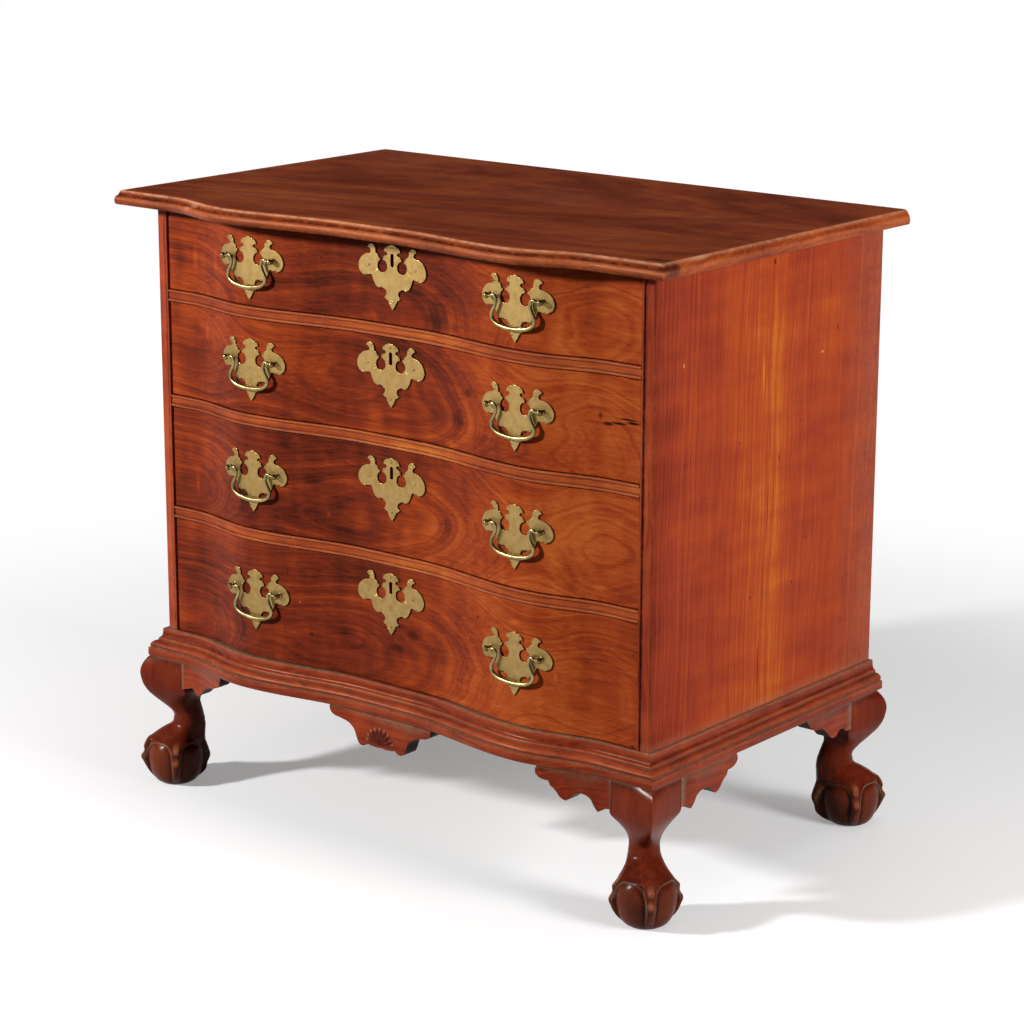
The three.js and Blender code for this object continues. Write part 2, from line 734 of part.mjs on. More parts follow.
function keyholeCut(centreX, centreZ, reach) {
  const half = KEYHOLE_WIDTH / 2;
  const middle = KEYHOLE_LENGTH / 2;
  const outline = [
    [half, -middle],
    [half, middle - half],
    [0, middle],
    [-half, middle - half],
    [-half, -middle],
  ].map(([x, z]) => new THREE.Vector2(centreX + x, centreZ + KEYHOLE_RISE + z));
  return plateSolid(outline, -reach, reach);
}

// Depth of the bails' axis: clear of the plate at its middle and at both posts
function axisDepth(centreX) {
  const faces = [centreX - POST_SPREAD, centreX, centreX + POST_SPREAD].map(frontAt);
  return Math.min(...faces) + FACE_OF_DRAWER - GAP - PLATE_THICKNESS - POST_STANDOFF;
}

// A turned post from the plate outwards, its head bored for the bail's pin from the inner side
function makePost(postX, postZ, axis, inward) {
  const plateMiddle = frontAt(postX) + FACE_OF_DRAWER - GAP - PLATE_THICKNESS / 2;
  const reach = plateMiddle - axis;
  const head = POST_HEAD_RADIUS;
  const profile = [
    [0, 0],
    [POST_RADIUS, 0],
    [POST_RADIUS, reach - head],
    [head, reach - head / 2],
    [head, reach + head / 2],
    [head / 2, reach + head],
    [0, reach + head],
  ].map(([radius, along]) => new THREE.Vector2(radius, along));
  const post = new THREE.LatheGeometry(profile, POST_SIDES);
  post.rotateX(Math.PI).translate(postX, plateMiddle, postZ);
  const boreRadius = BAIL_PIN_RADIUS + PIN_CLEARANCE;
  const boreLength = head + BORE_PAST_MIDDLE;
  const bore = new THREE.CylinderGeometry(boreRadius, boreRadius, boreLength + OVERRUN, BAIL_SIDES);
  const boreMiddle = (boreLength + OVERRUN) / 2 - BORE_PAST_MIDDLE;
  bore.rotateZ(Math.PI / 2).translate(postX + inward * boreMiddle, axis, postZ);
  return cut(post, bore);
}

function makePullPlate(centreX, centreZ) {
  const axis = axisDepth(centreX);
  const posts = [-1, 1].map((side) => (
    makePost(centreX + side * POST_SPREAD, centreZ + POST_RISE, axis, -side)
  ));
  return join(makePlate(centreX, centreZ), ...posts);
}

function makeEscutcheon(centreX, centreZ) {
  const deep = BULGE_DEPTH + PLATE_THICKNESS + OVERRUN;
  return cut(makePlate(centreX, centreZ), keyholeCut(centreX, centreZ, deep));
}

// A swan-necked bail about its own axis, thickest in the middle of the grip
function makeBail() {
  const half = bailShares.map(([across, drop]) => (
    new THREE.Vector3(-across * BAIL_HALF_WIDTH, 0, drop * BAIL_DROP)
  ));
  const other = half.slice(0, -1).reverse().map((point) => new THREE.Vector3(-point.x, 0, point.z));
  const route = new THREE.CatmullRomCurve3([...half, ...other], false, 'centripetal');
  const pinEnd = POST_SPREAD + BORE_PAST_MIDDLE - PIN_CLEARANCE;
  const pinStart = POST_SPREAD - POST_HEAD_RADIUS - GAP;
  const stations = Array.from({ length: BAIL_STEPS + 1 }, (_, index) => index / BAIL_STEPS);
  const ring = (centre, direction, radius) => {
    const outwards = new THREE.Vector3(0, 1, 0);
    const sideways = outwards.clone().cross(direction).normalize();
    return Array.from({ length: BAIL_SIDES }, (_, index) => {
      const angle = (2 * Math.PI * index) / BAIL_SIDES;
      const across = outwards.clone().multiplyScalar(Math.cos(angle));
      const spoke = across.addScaledVector(sideways, Math.sin(angle));
      return centre.clone().addScaledVector(spoke, radius);
    });
  };
  const right = new THREE.Vector3(1, 0, 0);
  const pinRings = [-pinEnd, -pinStart].map((x) => ring(new THREE.Vector3(x, 0, 0), right, BAIL_PIN_RADIUS));
  const neckRings = stations.map((turn) => {
    const swell = Math.sin(Math.PI * turn) ** 4;
    const radius = THREE.MathUtils.lerp(BAIL_NECK_RADIUS, BAIL_GRIP_RADIUS, swell);
    return ring(route.getPointAt(turn), route.getTangentAt(turn), radius);
  });
  const farRings = [pinStart, pinEnd].map((x) => ring(new THREE.Vector3(x, 0, 0), right, BAIL_PIN_RADIUS));
  return loft([...pinRings, ...neckRings, ...farRings], flatAcross);
}

// Drawers, each in its own frame with Z = 0 at its opening's floor

function frontHeights(height) {
  return [DRAWER_FOOT_GAP, height - DRAWER_HEAD_GAP];
}

function panelBlock(grown) {
  const outer = OPENING_HALF - BOX_SIDE_GAP;
  const reach = outer - BOX_THICKNESS + GROOVE_DEPTH - GAP + grown;
  const front = FRONT_INNER_FACE - GROOVE_DEPTH + GAP - grown;
  const back = BACK_FACE - BOX_BACK_CLEARANCE + grown;
  const heights = [PANEL_HEIGHT - grown, PANEL_HEIGHT + PANEL_THICKNESS + grown];
  return block([-reach, reach], [front, back], heights);
}

function makeDrawerFront(height, keyX, keyZ) {
  const [low, high] = frontHeights(height);
  const end = OPENING_HALF - DRAWER_SIDE_GAP;
  const board = frontSweep(-end, end, [
    [FACE_OF_DRAWER, low, 1],
    [FRONT_INNER_FACE, low, 0],
    [FRONT_INNER_FACE, high, 0],
    [FACE_OF_DRAWER, high, 1],
  ]);
  const deep = BULGE_DEPTH + FRONT_INNER_FACE + OVERRUN;
  return cut(board, panelBlock(GAP), keyholeCut(keyX, keyZ, deep));
}

function makeDrawerBox(height) {
  const outer = OPENING_HALF - BOX_SIDE_GAP;
  const inner = outer - BOX_THICKNESS;
  const top = height - DRAWER_HEAD_GAP - BOX_HEAD_DROP;
  const near = FRONT_INNER_FACE + GAP;
  const far = BACK_FACE - BOX_BACK_CLEARANCE;
  const right = block([inner, outer], [near, far], [GAP, top]);
  const left = block([-outer, -inner], [near, far], [GAP, top]);
  const backLow = PANEL_HEIGHT + PANEL_THICKNESS + GAP;
  const back = block([-inner - OVERRUN, inner + OVERRUN], [far - BOX_THICKNESS, far], [backLow, top]);
  return cut(join(right, back, left), panelBlock(GAP));
}

function makeLock(height, centreX) {
  const [, high] = frontHeights(height);
  const top = high - LOCK_HEAD_DROP;
  const near = FRONT_INNER_FACE + GAP;
  const half = LOCK_WIDTH / 2;
  const plate = block([centreX - half, centreX + half], [near, near + LOCK_PLATE], [top - LOCK_HEIGHT, top]);
  const caseHalf = half - LOCK_MARGIN;
  const caseHeights = [top - LOCK_HEIGHT + LOCK_MARGIN, top - LOCK_MARGIN];
  const box = block([centreX - caseHalf, centreX + caseHalf], [near, near + LOCK_CASE_DEPTH], caseHeights);
  const boltHalf = BOLT_WIDTH / 2;
  const boltHeights = [top - LOCK_MARGIN - OVERRUN, top];
  const bolt = block([centreX - boltHalf, centreX + boltHalf], [near, near + BOLT_DEPTH], boltHeights);
  return join(plate, box, bolt);
}

function makeDrawer(index) {
  const number = index + 1;
  const height = OPENING_HEIGHTS[index];
  const name = (part) => `drawer_${number}_${part}`;
  const drawer = new THREE.Group();
  const keyX = ESCUTCHEON_SHIFTS[index];
  const keyZ = height - ESCUTCHEON_DROPS[index];
  const pullZ = height / 2 - PULL_DROPS[index];
  drawer.add(piece(name('front'), makeDrawerFront(height, keyX, keyZ), MAHOGANY_FRONT));
  drawer.add(piece(name('box'), makeDrawerBox(height), PINE_INSIDE));
  drawer.add(piece(name('bottom'), panelBlock(0), PINE_INSIDE));
  drawer.add(piece(name('lock'), makeLock(height, keyX), LOCK_IRON));
  drawer.add(piece(name('escutcheon'), makeEscutcheon(keyX, keyZ), AGED_BRASS));
  [['left', -1], ['right', 1]].forEach(([hand, side]) => {
    const pullX = side * PULL_SPREAD + MIDDLE_SHIFT;
    drawer.add(piece(name(`pull_plate_${hand}`), makePullPlate(pullX, pullZ), AGED_BRASS));
    const bail = piece(name(`bail_${hand}`), makeBail(), DARK_BRASS);
    bail.position.set(pullX, axisDepth(pullX), pullZ + POST_RISE);
    drawer.add(bail);
  });
  drawer.position.z = openingFloors[index];
  return drawer;
}

// Assembly

function makeCase() {
  const carcase = new THREE.Group();
  carcase.add(piece('top_board', makeTop(), MAHOGANY_TOP));
  carcase.add(piece('left_side', makeSide(-1), MAHOGANY_SIDE));
  carcase.add(piece('right_side', makeSide(1), MAHOGANY_SIDE));
  const backSeam = THREE.MathUtils.lerp(LEG_HEIGHT, TOP_UNDERSIDE, BACK_SEAM_SHARE);
  carcase.add(piece('back_board_lower', makeBackBoard(LEG_HEIGHT, backSeam), PINE_INSIDE));
  carcase.add(piece('back_board_upper', makeBackBoard(backSeam + GAP, TOP_UNDERSIDE - GAP), PINE_INSIDE));
  carcase.add(piece('bottom_board', makeBottom(), PINE_INSIDE));
  dividerHeights.forEach((heights, index) => {
    carcase.add(piece(`divider_${index + 1}`, makeDivider(heights), MAHOGANY_TRIM));
  });
  carcase.add(piece('base_moulding_front', makeFrontMoulding(), MAHOGANY_TRIM));
  carcase.add(piece('base_moulding_left', makeSideMoulding(-1), MAHOGANY_TRIM));
  carcase.add(piece('base_moulding_right', makeSideMoulding(1), MAHOGANY_TRIM));
  carcase.add(piece('shell_pendant', makePendant(), MAHOGANY_TRIM));
  return carcase;
}

function makeStand() {
  const stand = new THREE.Group();
  const frontCorner = -FRONT_REACH;
  const rearCorner = CASE_DEPTH - REAR_SET_IN + FRONT_REACH;
  [['left', -1], ['right', 1]].forEach(([hand, side]) => {
    const x = side * (CASE_HALF + sideReach(side));
    const front = piece(`foot_front_${hand}`, makeLeg(0), MAHOGANY_CARVED);
    front.rotation.z = Math.atan2(-1, side);
    front.position.set(x, frontCorner, 0);
    const rear = piece(`foot_rear_${hand}`, makeLeg(REAR_HEEL), MAHOGANY_CARVED);
    rear.rotation.z = Math.atan2(1, side);
    rear.position.set(x, rearCorner, 0);
    stand.add(front, rear);
    stand.add(piece(`knee_bracket_front_${hand}`, makeFrontBracket(side), MAHOGANY_TRIM));
    const frontSeam = frontCorner + LEG_BLOCK + GAP;
    const rearSeam = rearCorner - LEG_BLOCK - GAP;
    const foreSide = makeSideBracket(side, bracketShares, frontSeam, 1, BRACKET_LENGTH_SIDE);
    const rearSide = makeSideBracket(side, rearBracketShares, rearSeam, -1, BRACKET_LENGTH_REAR);
    stand.add(piece(`knee_bracket_side_front_${hand}`, foreSide, MAHOGANY_TRIM));
    stand.add(piece(`knee_bracket_side_rear_${hand}`, rearSide, MAHOGANY_TRIM));
  });
  return stand;
}

const chest = new THREE.Group();
chest.add(makeCase(), makeStand());
for (let index = 0; index < OPENING_COUNT; index += 1) {
  chest.add(makeDrawer(index));
}
chest.updateMatrixWorld(true);
const footprint = new THREE.Box3().setFromObject(chest, true).getCenter(new THREE.Vector3());
chest.position.set(-footprint.x, -footprint.y, 0);

export default chest;
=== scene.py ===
"""Finished surfaces, materials, camera and studio for the reverse-serpentine chest of drawers.

Sizes are millimetres in the maker's frame: X to the right of someone facing the front, Y back from
the plane of the case's front corners, Z up from the floor. One function turns them to the metres
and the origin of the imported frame.
"""
import logging
from dataclasses import dataclass, field
from enum import Enum
from functools import partial

import bmesh
import bpy
import numpy as np
from mathutils import Euler, Matrix, Vector


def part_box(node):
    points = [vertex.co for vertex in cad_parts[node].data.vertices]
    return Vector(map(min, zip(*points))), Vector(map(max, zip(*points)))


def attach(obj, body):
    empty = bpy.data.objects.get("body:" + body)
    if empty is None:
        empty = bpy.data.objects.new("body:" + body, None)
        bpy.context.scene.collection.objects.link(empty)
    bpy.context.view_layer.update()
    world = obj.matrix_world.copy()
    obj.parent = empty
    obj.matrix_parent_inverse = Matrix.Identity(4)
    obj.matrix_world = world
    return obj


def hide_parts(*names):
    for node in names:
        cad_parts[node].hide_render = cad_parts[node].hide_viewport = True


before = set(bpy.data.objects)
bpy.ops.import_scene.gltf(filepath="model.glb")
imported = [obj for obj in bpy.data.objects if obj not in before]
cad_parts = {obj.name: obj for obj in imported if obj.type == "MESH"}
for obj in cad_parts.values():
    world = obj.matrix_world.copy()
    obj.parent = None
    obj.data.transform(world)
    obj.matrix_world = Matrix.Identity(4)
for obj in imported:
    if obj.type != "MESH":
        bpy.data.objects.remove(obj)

Array = np.ndarray
Colour = tuple[float, float, float, float]
Table = tuple[tuple[float, ...], ...]
Shape = tuple[Array, tuple[int, ...]]
Material = bpy.types.Material
Node = bpy.types.Node
Socket = bpy.types.NodeSocket
LOG = logging.getLogger("chest")
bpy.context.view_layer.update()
# The side boards' beads stand in front of the case's corner plane, so the CAD's box starts there
BEAD_PROUD = 2.0
ORIGIN_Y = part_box("left_side")[0].y * 1000 + BEAD_PROUD
# Case, drawers' openings, top of the base moulding and top of the legs
CASE_HALF = 419.0
CASE_DEPTH = 501.0
OPENING_HALF = 400.0
BASE_TOP = 224.0
LEG_TOP = 186.0
LEG_BLOCK = 72.0
# How far the legs stand out from the case, to the left and right and in front
LEG_REACH = {"left": 16.5, "right": 21.0}
LEG_FRONT = -22.5
# Middle across of each column of pulls, and depth of its bails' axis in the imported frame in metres
PULLS = {"left": (-228.0, -0.245393), "right": (222.0, -0.24503)}
# Play between neighbours
GAP = 0.3


# ---------------------------------------------------------------------------------- shape tools


def half_wave(turn: Array) -> Array:
    """Rise from 0 to 1 along half a cosine wave as turn goes from 0 to 1."""
    return (1 - np.cos(np.pi * turn)) / 2


def smooth_step(low: float, high: float, value: Array) -> Array:
    """Rise from 0 at low to 1 at high with level ends: 3t squared less 2t cubed."""
    share = np.clip((value - low) / (high - low), 0, 1)
    return share * share * (3 - 2 * share)


@dataclass(frozen=True)
class Serpentine:
    """A front line with a hollow in the middle and a bulge on either side of it."""

    middle: float
    bulge: float

    def depth(self, x: Array) -> Array:
        """Depth of the line at x.

        It is the middle depth across the hollow, goes to minus the bulge at 0.56 of the half width
        along half a cosine wave, and back to nothing at 0.86 of it along another.

        Args:
            x: places across the front.

        Returns:
            Depths, negative towards the viewer.
        """
        across = np.abs(x) / CASE_HALF
        out = half_wave(np.clip((across - 0.1) / 0.46, 0, 1))
        home = half_wave(np.clip((across - 0.56) / 0.3, 0, 1))
        return self.middle - (self.middle + self.bulge) * out + self.bulge * home


FRONT = Serpentine(2, 21)
TOP_LINE = Serpentine(-8, 27)


def follow(places: Array, values: Array, at: Array) -> Array:
    """Read a smooth curve through knots.

    Cubic Hermite curve: between two knots the value is a third-degree blend of both knots' values
    and slopes, and a knot's slope is that of the parabola through it and its neighbours.

    Args:
        places: rising places of the knots.
        values: what the curve is at each knot, one row a knot.
        at: places to read it at.

    Returns:
        The curve's values at those places.
    """
    values = np.asarray(values, float)
    slopes = np.gradient(values, places, axis=0, edge_order=min(2, len(places) - 1))
    span = np.clip(np.searchsorted(places, at, side="right") - 1, 0, len(places) - 2)
    width = places[span + 1] - places[span]
    turn = np.clip((at - places[span]) / width, 0, 1)
    if values.ndim > 1:
        width, turn = width[..., None], turn[..., None]
    square, cube = turn**2, turn**3
    return (
        (2 * cube - 3 * square + 1) * values[span]
        + (cube - 2 * square + turn) * width * slopes[span]
        + (3 * square - 2 * cube) * values[span + 1]
        + (cube - square) * width * slopes[span + 1]
    )


def spline(knots: Array, steps: int) -> Array:
    """Smooth line through knots, read evenly between each two, with the root of chord length as its clock.

    Args:
        knots: points, one a row.
        steps: points for each span.

    Returns:
        Points of the line, both ends among them.
    """
    knots = np.asarray(knots, float)
    clock = np.concatenate([[0], np.cumsum(np.linalg.norm(np.diff(knots, axis=0), axis=1) ** 0.5)])
    ticks = np.interp(np.arange((len(knots) - 1) * steps + 1) / steps, np.arange(len(knots)), clock)
    return follow(clock, knots, ticks)


def outline_through(knots: Array, corners: tuple[int, ...], steps: int = 5) -> Array:
    """Line through knots that is smooth except at its corners.

    Args:
        knots: points, one a row.
        corners: rows at which it may turn sharply, besides both ends.
        steps: points for each span of a smooth stretch.

    Returns:
        Points of the line.
    """
    stops = [0, *corners, len(knots) - 1]
    runs = [
        np.asarray(knots[a : b + 1], float) if b - a == 1 else spline(knots[a : b + 1], steps)
        for a, b in zip(stops, stops[1:])
    ]
    return np.concatenate([runs[0], *(run[1:] for run in runs[1:])])


@dataclass
class Shell:
    """A closed surface in the making.

    Faces come in blocks of equal corner counts, each with the number of the finish it takes. Marks
    are values for each point that the finishes read.
    """

    points: Array
    faces: list[tuple[Array, int]]
    marks: dict[str, Array] = field(default_factory=dict)

    def moved(self, x: float = 0, y: float = 0, z: float = 0) -> "Shell":
        """Copy of this shell moved by x, y and z."""
        return Shell(self.points + (x, y, z), self.faces, self.marks)

    def facing_out(self) -> "Shell":
        """Turn the faces outwards.

        The volume under all of them, summed as tetrahedra to the points' middle, is then positive.

        Returns:
            This shell, or a copy with every face turned round.
        """
        volume = 0.0
        for block, _ in self.faces:
            corners = self.points[block] - self.points.mean(axis=0)
            for side in range(1, block.shape[1] - 1):
                normal = np.cross(corners[:, side], corners[:, side + 1])
                volume += float(np.einsum("ij,ij->", corners[:, 0], normal))
        if volume >= 0:
            return self
        return Shell(self.points, [(block[:, ::-1], tone) for block, tone in self.faces], self.marks)


def joined(*shells: Shell) -> Shell:
    """Make one shell of several.

    Args:
        shells: what it is made of; a mark that one of them lacks is taken as nothing there.

    Returns:
        The shell.
    """
    names = sorted({name for shell in shells for name in shell.marks})
    starts = np.cumsum([0, *(len(shell.points) for shell in shells)])
    return Shell(
        np.concatenate([shell.points for shell in shells]),
        [(block + start, tone) for shell, start in zip(shells, starts) for block, tone in shell.faces],
        {
            name: np.concatenate([shell.marks.get(name, np.zeros(len(shell.points))) for shell in shells])
            for name in names
        },
    )


def loft(rings: Array, marks: dict[str, Array] | None = None, tone: int = 0, cap_tone: int | None = None) -> Shell:
    """Closed surface through rings of equally many points.

    Args:
        rings: points by ring and place in the ring.
        marks: values by ring and place.
        tone: finish of the surface.
        cap_tone: finish of its two end faces, or None for the same.

    Returns:
        The shell, facing out.
    """
    rows, columns = rings.shape[:2]
    index = np.arange(rows * columns).reshape(rows, columns)
    here, right = index[:-1], np.roll(index, -1, axis=1)
    quads = np.stack([here, right[:-1], right[1:], index[1:]], axis=-1).reshape(-1, 4)
    caps = np.stack([index[0, ::-1], index[-1]])
    flat = {name: value.reshape(-1) for name, value in (marks or {}).items()}
    ends = tone if cap_tone is None else cap_tone
    return Shell(rings.reshape(-1, 3), [(quads, tone), (caps, ends)], flat).facing_out()


def slab(near: Array, far: Array, marks: dict[str, Array] | None = None) -> Shell:
    """Closed surface between two grids that are joined round their borders.

    Args:
        near: points of the shown grid, by row and column.
        far: points of the hidden grid.
        marks: values on the shown grid.

    Returns:
        The shell, facing out.
    """
    rows, columns = near.shape[:2]
    count = rows * columns
    index = np.arange(count).reshape(rows, columns)
    quads = np.stack([index[:-1, :-1], index[1:, :-1], index[1:, 1:], index[:-1, 1:]], axis=-1).reshape(-1, 4)
    border = np.concatenate([index[0, :-1], index[:-1, -1], index[-1, :0:-1], index[:0:-1, 0]])
    after = np.roll(border, -1)
    walls = np.stack([border, after, after + count, border + count], axis=-1)
    faces = [(quads, 0), (quads[:, ::-1] + count, 0), (walls, 0)]
    flat = {name: np.concatenate([value.reshape(-1)] * 2) for name, value in (marks or {}).items()}
    return Shell(np.concatenate([near.reshape(-1, 3), far.reshape(-1, 3)]), faces, flat).facing_out()


def box_shell(x: tuple[float, float], y: tuple[float, float], z: tuple[float, float]) -> Shell:
    """Board between two limits along each axis.

    Args:
        x: its left and right.
        y: its front and back.
        z: its foot and top.

    Returns:
        The board.
    """
    outline = np.array([(x[0], y[0]), (x[1], y[0]), (x[1], y[1]), (x[0], y[1])])
    rings = np.stack([np.column_stack([outline, np.full(4, level)]) for level in z])
    return loft(rings)


def turned(profile: Array, sides: int = 24) -> Shell:
    """Turned solid about the Y axis.

    Each profile point makes a circle: x is the radius times the cosine and z the radius times the
    sine of an angle that goes round once.

    Args:
        profile: radius and place along Y, one a row.
        sides: points in a circle.

    Returns:
        The shell, facing out.
    """
    angle = 2 * np.pi * np.arange(sides) / sides
    radius, along = profile[:, :1], profile[:, 1:]
    ring = np.stack([radius * np.cos(angle), along + 0 * angle, radius * np.sin(angle)], axis=-1)
    return loft(ring)


def flat_fill(loops: list[Array], strips: Array) -> tuple[Array, Array]:
    """Fill flat outlines, the first outside and any others holes, and cut the fill into upright strips.

    Args:
        loops: closed outlines in X and Z.
        strips: places across X at which the fill is cut, so that it can bend there.

    Returns:
        The points in X and Z, and the faces as triangles.
    """
    counts = [len(loop) for loop in loops]
    starts = np.cumsum([0, *counts])
    points = np.concatenate([np.column_stack([loop[:, 0], 0 * loop[:, 0], loop[:, 1]]) for loop in loops])
    edges = np.concatenate(
        [np.column_stack([np.arange(n), np.roll(np.arange(n), -1)]) + s for n, s in zip(counts, starts)]
    )
    sketch = bpy.data.meshes.new("sketch")
    sketch.from_pydata(points.tolist(), edges.tolist(), [])
    work = bmesh.new()
    work.from_mesh(sketch)
    bmesh.ops.triangle_fill(work, use_beauty=True, edges=work.edges[:], normal=(0, -1, 0))
    for x in strips:
        everything = work.verts[:] + work.edges[:] + work.faces[:]
        bmesh.ops.bisect_plane(work, geom=everything, dist=1e-4, plane_co=(x, 0, 0), plane_no=(1, 0, 0))
    bmesh.ops.triangulate(work, faces=work.faces[:])
    work.to_mesh(sketch)
    work.free()
    flat = np.empty(len(sketch.vertices) * 3)
    corners = np.empty(len(sketch.loops), np.int64)
    sketch.vertices.foreach_get("co", flat)
    sketch.loops.foreach_get("vertex_index", corners)
    bpy.data.meshes.remove(sketch)
    return flat.reshape(-1, 3)[:, [0, 2]], corners.reshape(-1, 3)


def thickened(triangles: Array, near: Array, far: Array, wall_tone: int = 0) -> Shell:
    """Sheet between a shown and a hidden face that share their triangles.

    The walls stand on the edges that belong to one triangle only, turned against that triangle.

    Args:
        triangles: faces as rows of three points.
        near: place of each point on the shown face.
        far: place of each point on the hidden face.
        wall_tone: finish of the walls.

    Returns:
        The shell, facing out.
    """
    edges = np.concatenate([triangles[:, [0, 1]], triangles[:, [1, 2]], triangles[:, [2, 0]]])
    _, first, times = np.unique(np.sort(edges, axis=1), axis=0, return_index=True, return_counts=True)
    rim = edges[first[times == 1]]
    count = len(near)
    walls = np.column_stack([rim[:, 1], rim[:, 0], rim[:, 0] + count, rim[:, 1] + count])
    faces = [(triangles, 0), (triangles[:, ::-1] + count, 0), (walls, wall_tone)]
    return Shell(np.concatenate([near, far]), faces).facing_out()


def on_front(flat: Array, offset: float) -> Array:
    """Points in X and Z set on the serpentine front, moved back by an offset."""
    return np.column_stack([flat[:, 0], FRONT.depth(flat[:, 0]) + offset, flat[:, 1]])


def front_sweep(
    section: Array, ends: tuple[Array, Array], marks: dict[str, Array] | None = None, spacing: float = 5
) -> Shell:
    """Section carried along the serpentine front.

    A point of the section is depth, height and how far it follows the front: its place at x is
    (x, depth + follows * front depth at x, height), and its line runs between its own two ends.

    Args:
        section: depth, height and share of following, one point a row.
        ends: lowest and highest x of each section point.
        marks: values of each section point.
        spacing: distance between two stations.

    Returns:
        The shell, facing out.
    """
    low, high = (np.broadcast_to(end, len(section)) for end in ends)
    rows = int((high.max() - low.min()) / spacing) + 2
    share = np.linspace(0, 1, rows)[:, None]
    x = low * (1 - share) + high * share
    y = section[:, 0] + section[:, 2] * FRONT.depth(x)
    rings = np.stack([x, y, section[:, 1] + 0 * x], axis=-1)
    spread = {name: value + 0 * x for name, value in (marks or {}).items()}
    return loft(rings, spread)


# ------------------------------------------------------------------------------------- finishes


def linear(hex_colour: str) -> Colour:
    """Turn an sRGB colour to linear light, by the standard's curve for each channel.

    Args:
        hex_colour: the colour as #rrggbb.

    Returns:
        Its red, green and blue, and 1 for opaque.
    """
    srgb = np.array([int(hex_colour[i : i + 2], 16) for i in (1, 3, 5)]) / 255
    light = np.where(srgb <= 0.04045, srgb / 12.92, ((srgb + 0.055) / 1.055) ** 2.4)
    return (*map(float, light), 1.0)


def add_node(tree: bpy.types.NodeTree, kind: str, settings: dict | None = None, links: dict | None = None) -> Node:
    """Add one shader node with its settings and links.

    Args:
        tree: node tree that takes it.
        kind: the node's type name without its ShaderNode prefix.
        settings: values by name; a name of the node's own is set on it, any other on its input.
        links: what feeds each input, by the input's name or number: a socket, or a node for its first one.

    Returns:
        The node.
    """
    node = tree.nodes.new("ShaderNode" + kind)
    for name, value in (settings or {}).items():
        if isinstance(name, str) and hasattr(node, name):
            setattr(node, name, value)
        else:
            node.inputs[name].default_value = value
    for name, source in (links or {}).items():
        tree.links.new(source.outputs[0] if isinstance(source, Node) else source, node.inputs[name])
    return node


def fill_ramp(node: Node, stops: list[tuple[float, Colour]]) -> None:
    """Give a colour ramp its stops.

    Args:
        node: the ramp.
        stops: place and linear colour of each stop, in rising order.
    """
    elements = node.color_ramp.elements
    elements[0].position, elements[0].color = stops[0]
    elements[1].position, elements[1].color = stops[-1]
    for place, colour in stops[1:-1]:
        elements.new(place).color = colour


def new_material(name: str) -> tuple[Material, partial, Node]:
    """Start a material.

    Args:
        name: the material's name.

    Returns:
        The material, the function that adds a node to it, and the node that gives a place in millimetres.
    """
    material = bpy.data.materials.new(name)
    material.use_nodes = True
    material.node_tree.nodes.clear()
    node = partial(add_node, material.node_tree)
    place = node("TexCoord").outputs["Object"]
    return material, node, node("VectorMath", {"operation": "SCALE", "Scale": 1000}, {0: place})


def close_material(node: partial, settings: dict, colour: Socket, gloss: Node, relief: Node) -> None:
    """Add a material's shader and its output.

    Args:
        node: adds a node to the material.
        settings: constants of the shader.
        colour: its colour.
        gloss: its roughness.
        relief: its bumped normal.
    """
    links = {"Base Color": colour, "Roughness": gloss, "Normal": relief}
    node("OutputMaterial", {}, {"Surface": node("BsdfPrincipled", settings, links)})


class Grain(Enum):
    """Which way a board's fibres run: the object's axes in the order along, across, through."""

    ACROSS = (0, 2, 1)
    TOP = (0, 1, 2)
    UPRIGHT = (2, 1, 0)
    BACKWARDS = (1, 2, 0)


class Spot(Enum):
    """What a mark does to the wood: shift its tone by its strength's share, or cover it with a colour."""

    DARK = -0.5
    GOLD = 0.55
    BURN = "#120605"
    PALE = "#e6b894"


@dataclass(frozen=True)
class Blemish:
    """A spot of the board: its centre and half sizes along, across and through it, its strength and kind."""

    centre: tuple[float, float, float]
    size: tuple[float, float, float]
    strength: float
    kind: Spot

    def amount(self, node: partial, board: Node, soft: float, strength: float) -> Node:
        """Strength of the spot at a place: full in its middle and nothing past its rim.

        Args:
            node: adds a node to the material.
            board: node with the place along, across and through the board in millimetres.
            soft: share of its size over which it fades.
            strength: its value in the middle.

        Returns:
            The node that gives it.
        """
        inside = node("Mapping", {"vector_type": "TEXTURE", "Location": self.centre, "Scale": self.size}, {0: board})
        reach = node("VectorMath", {"operation": "LENGTH"}, {0: inside})
        fade = {"interpolation_type": "SMOOTHSTEP", "From Min": 1, "From Max": 1 - soft, "To Max": strength}
        return node("MapRange", fade, {0: reach.outputs["Value"]})


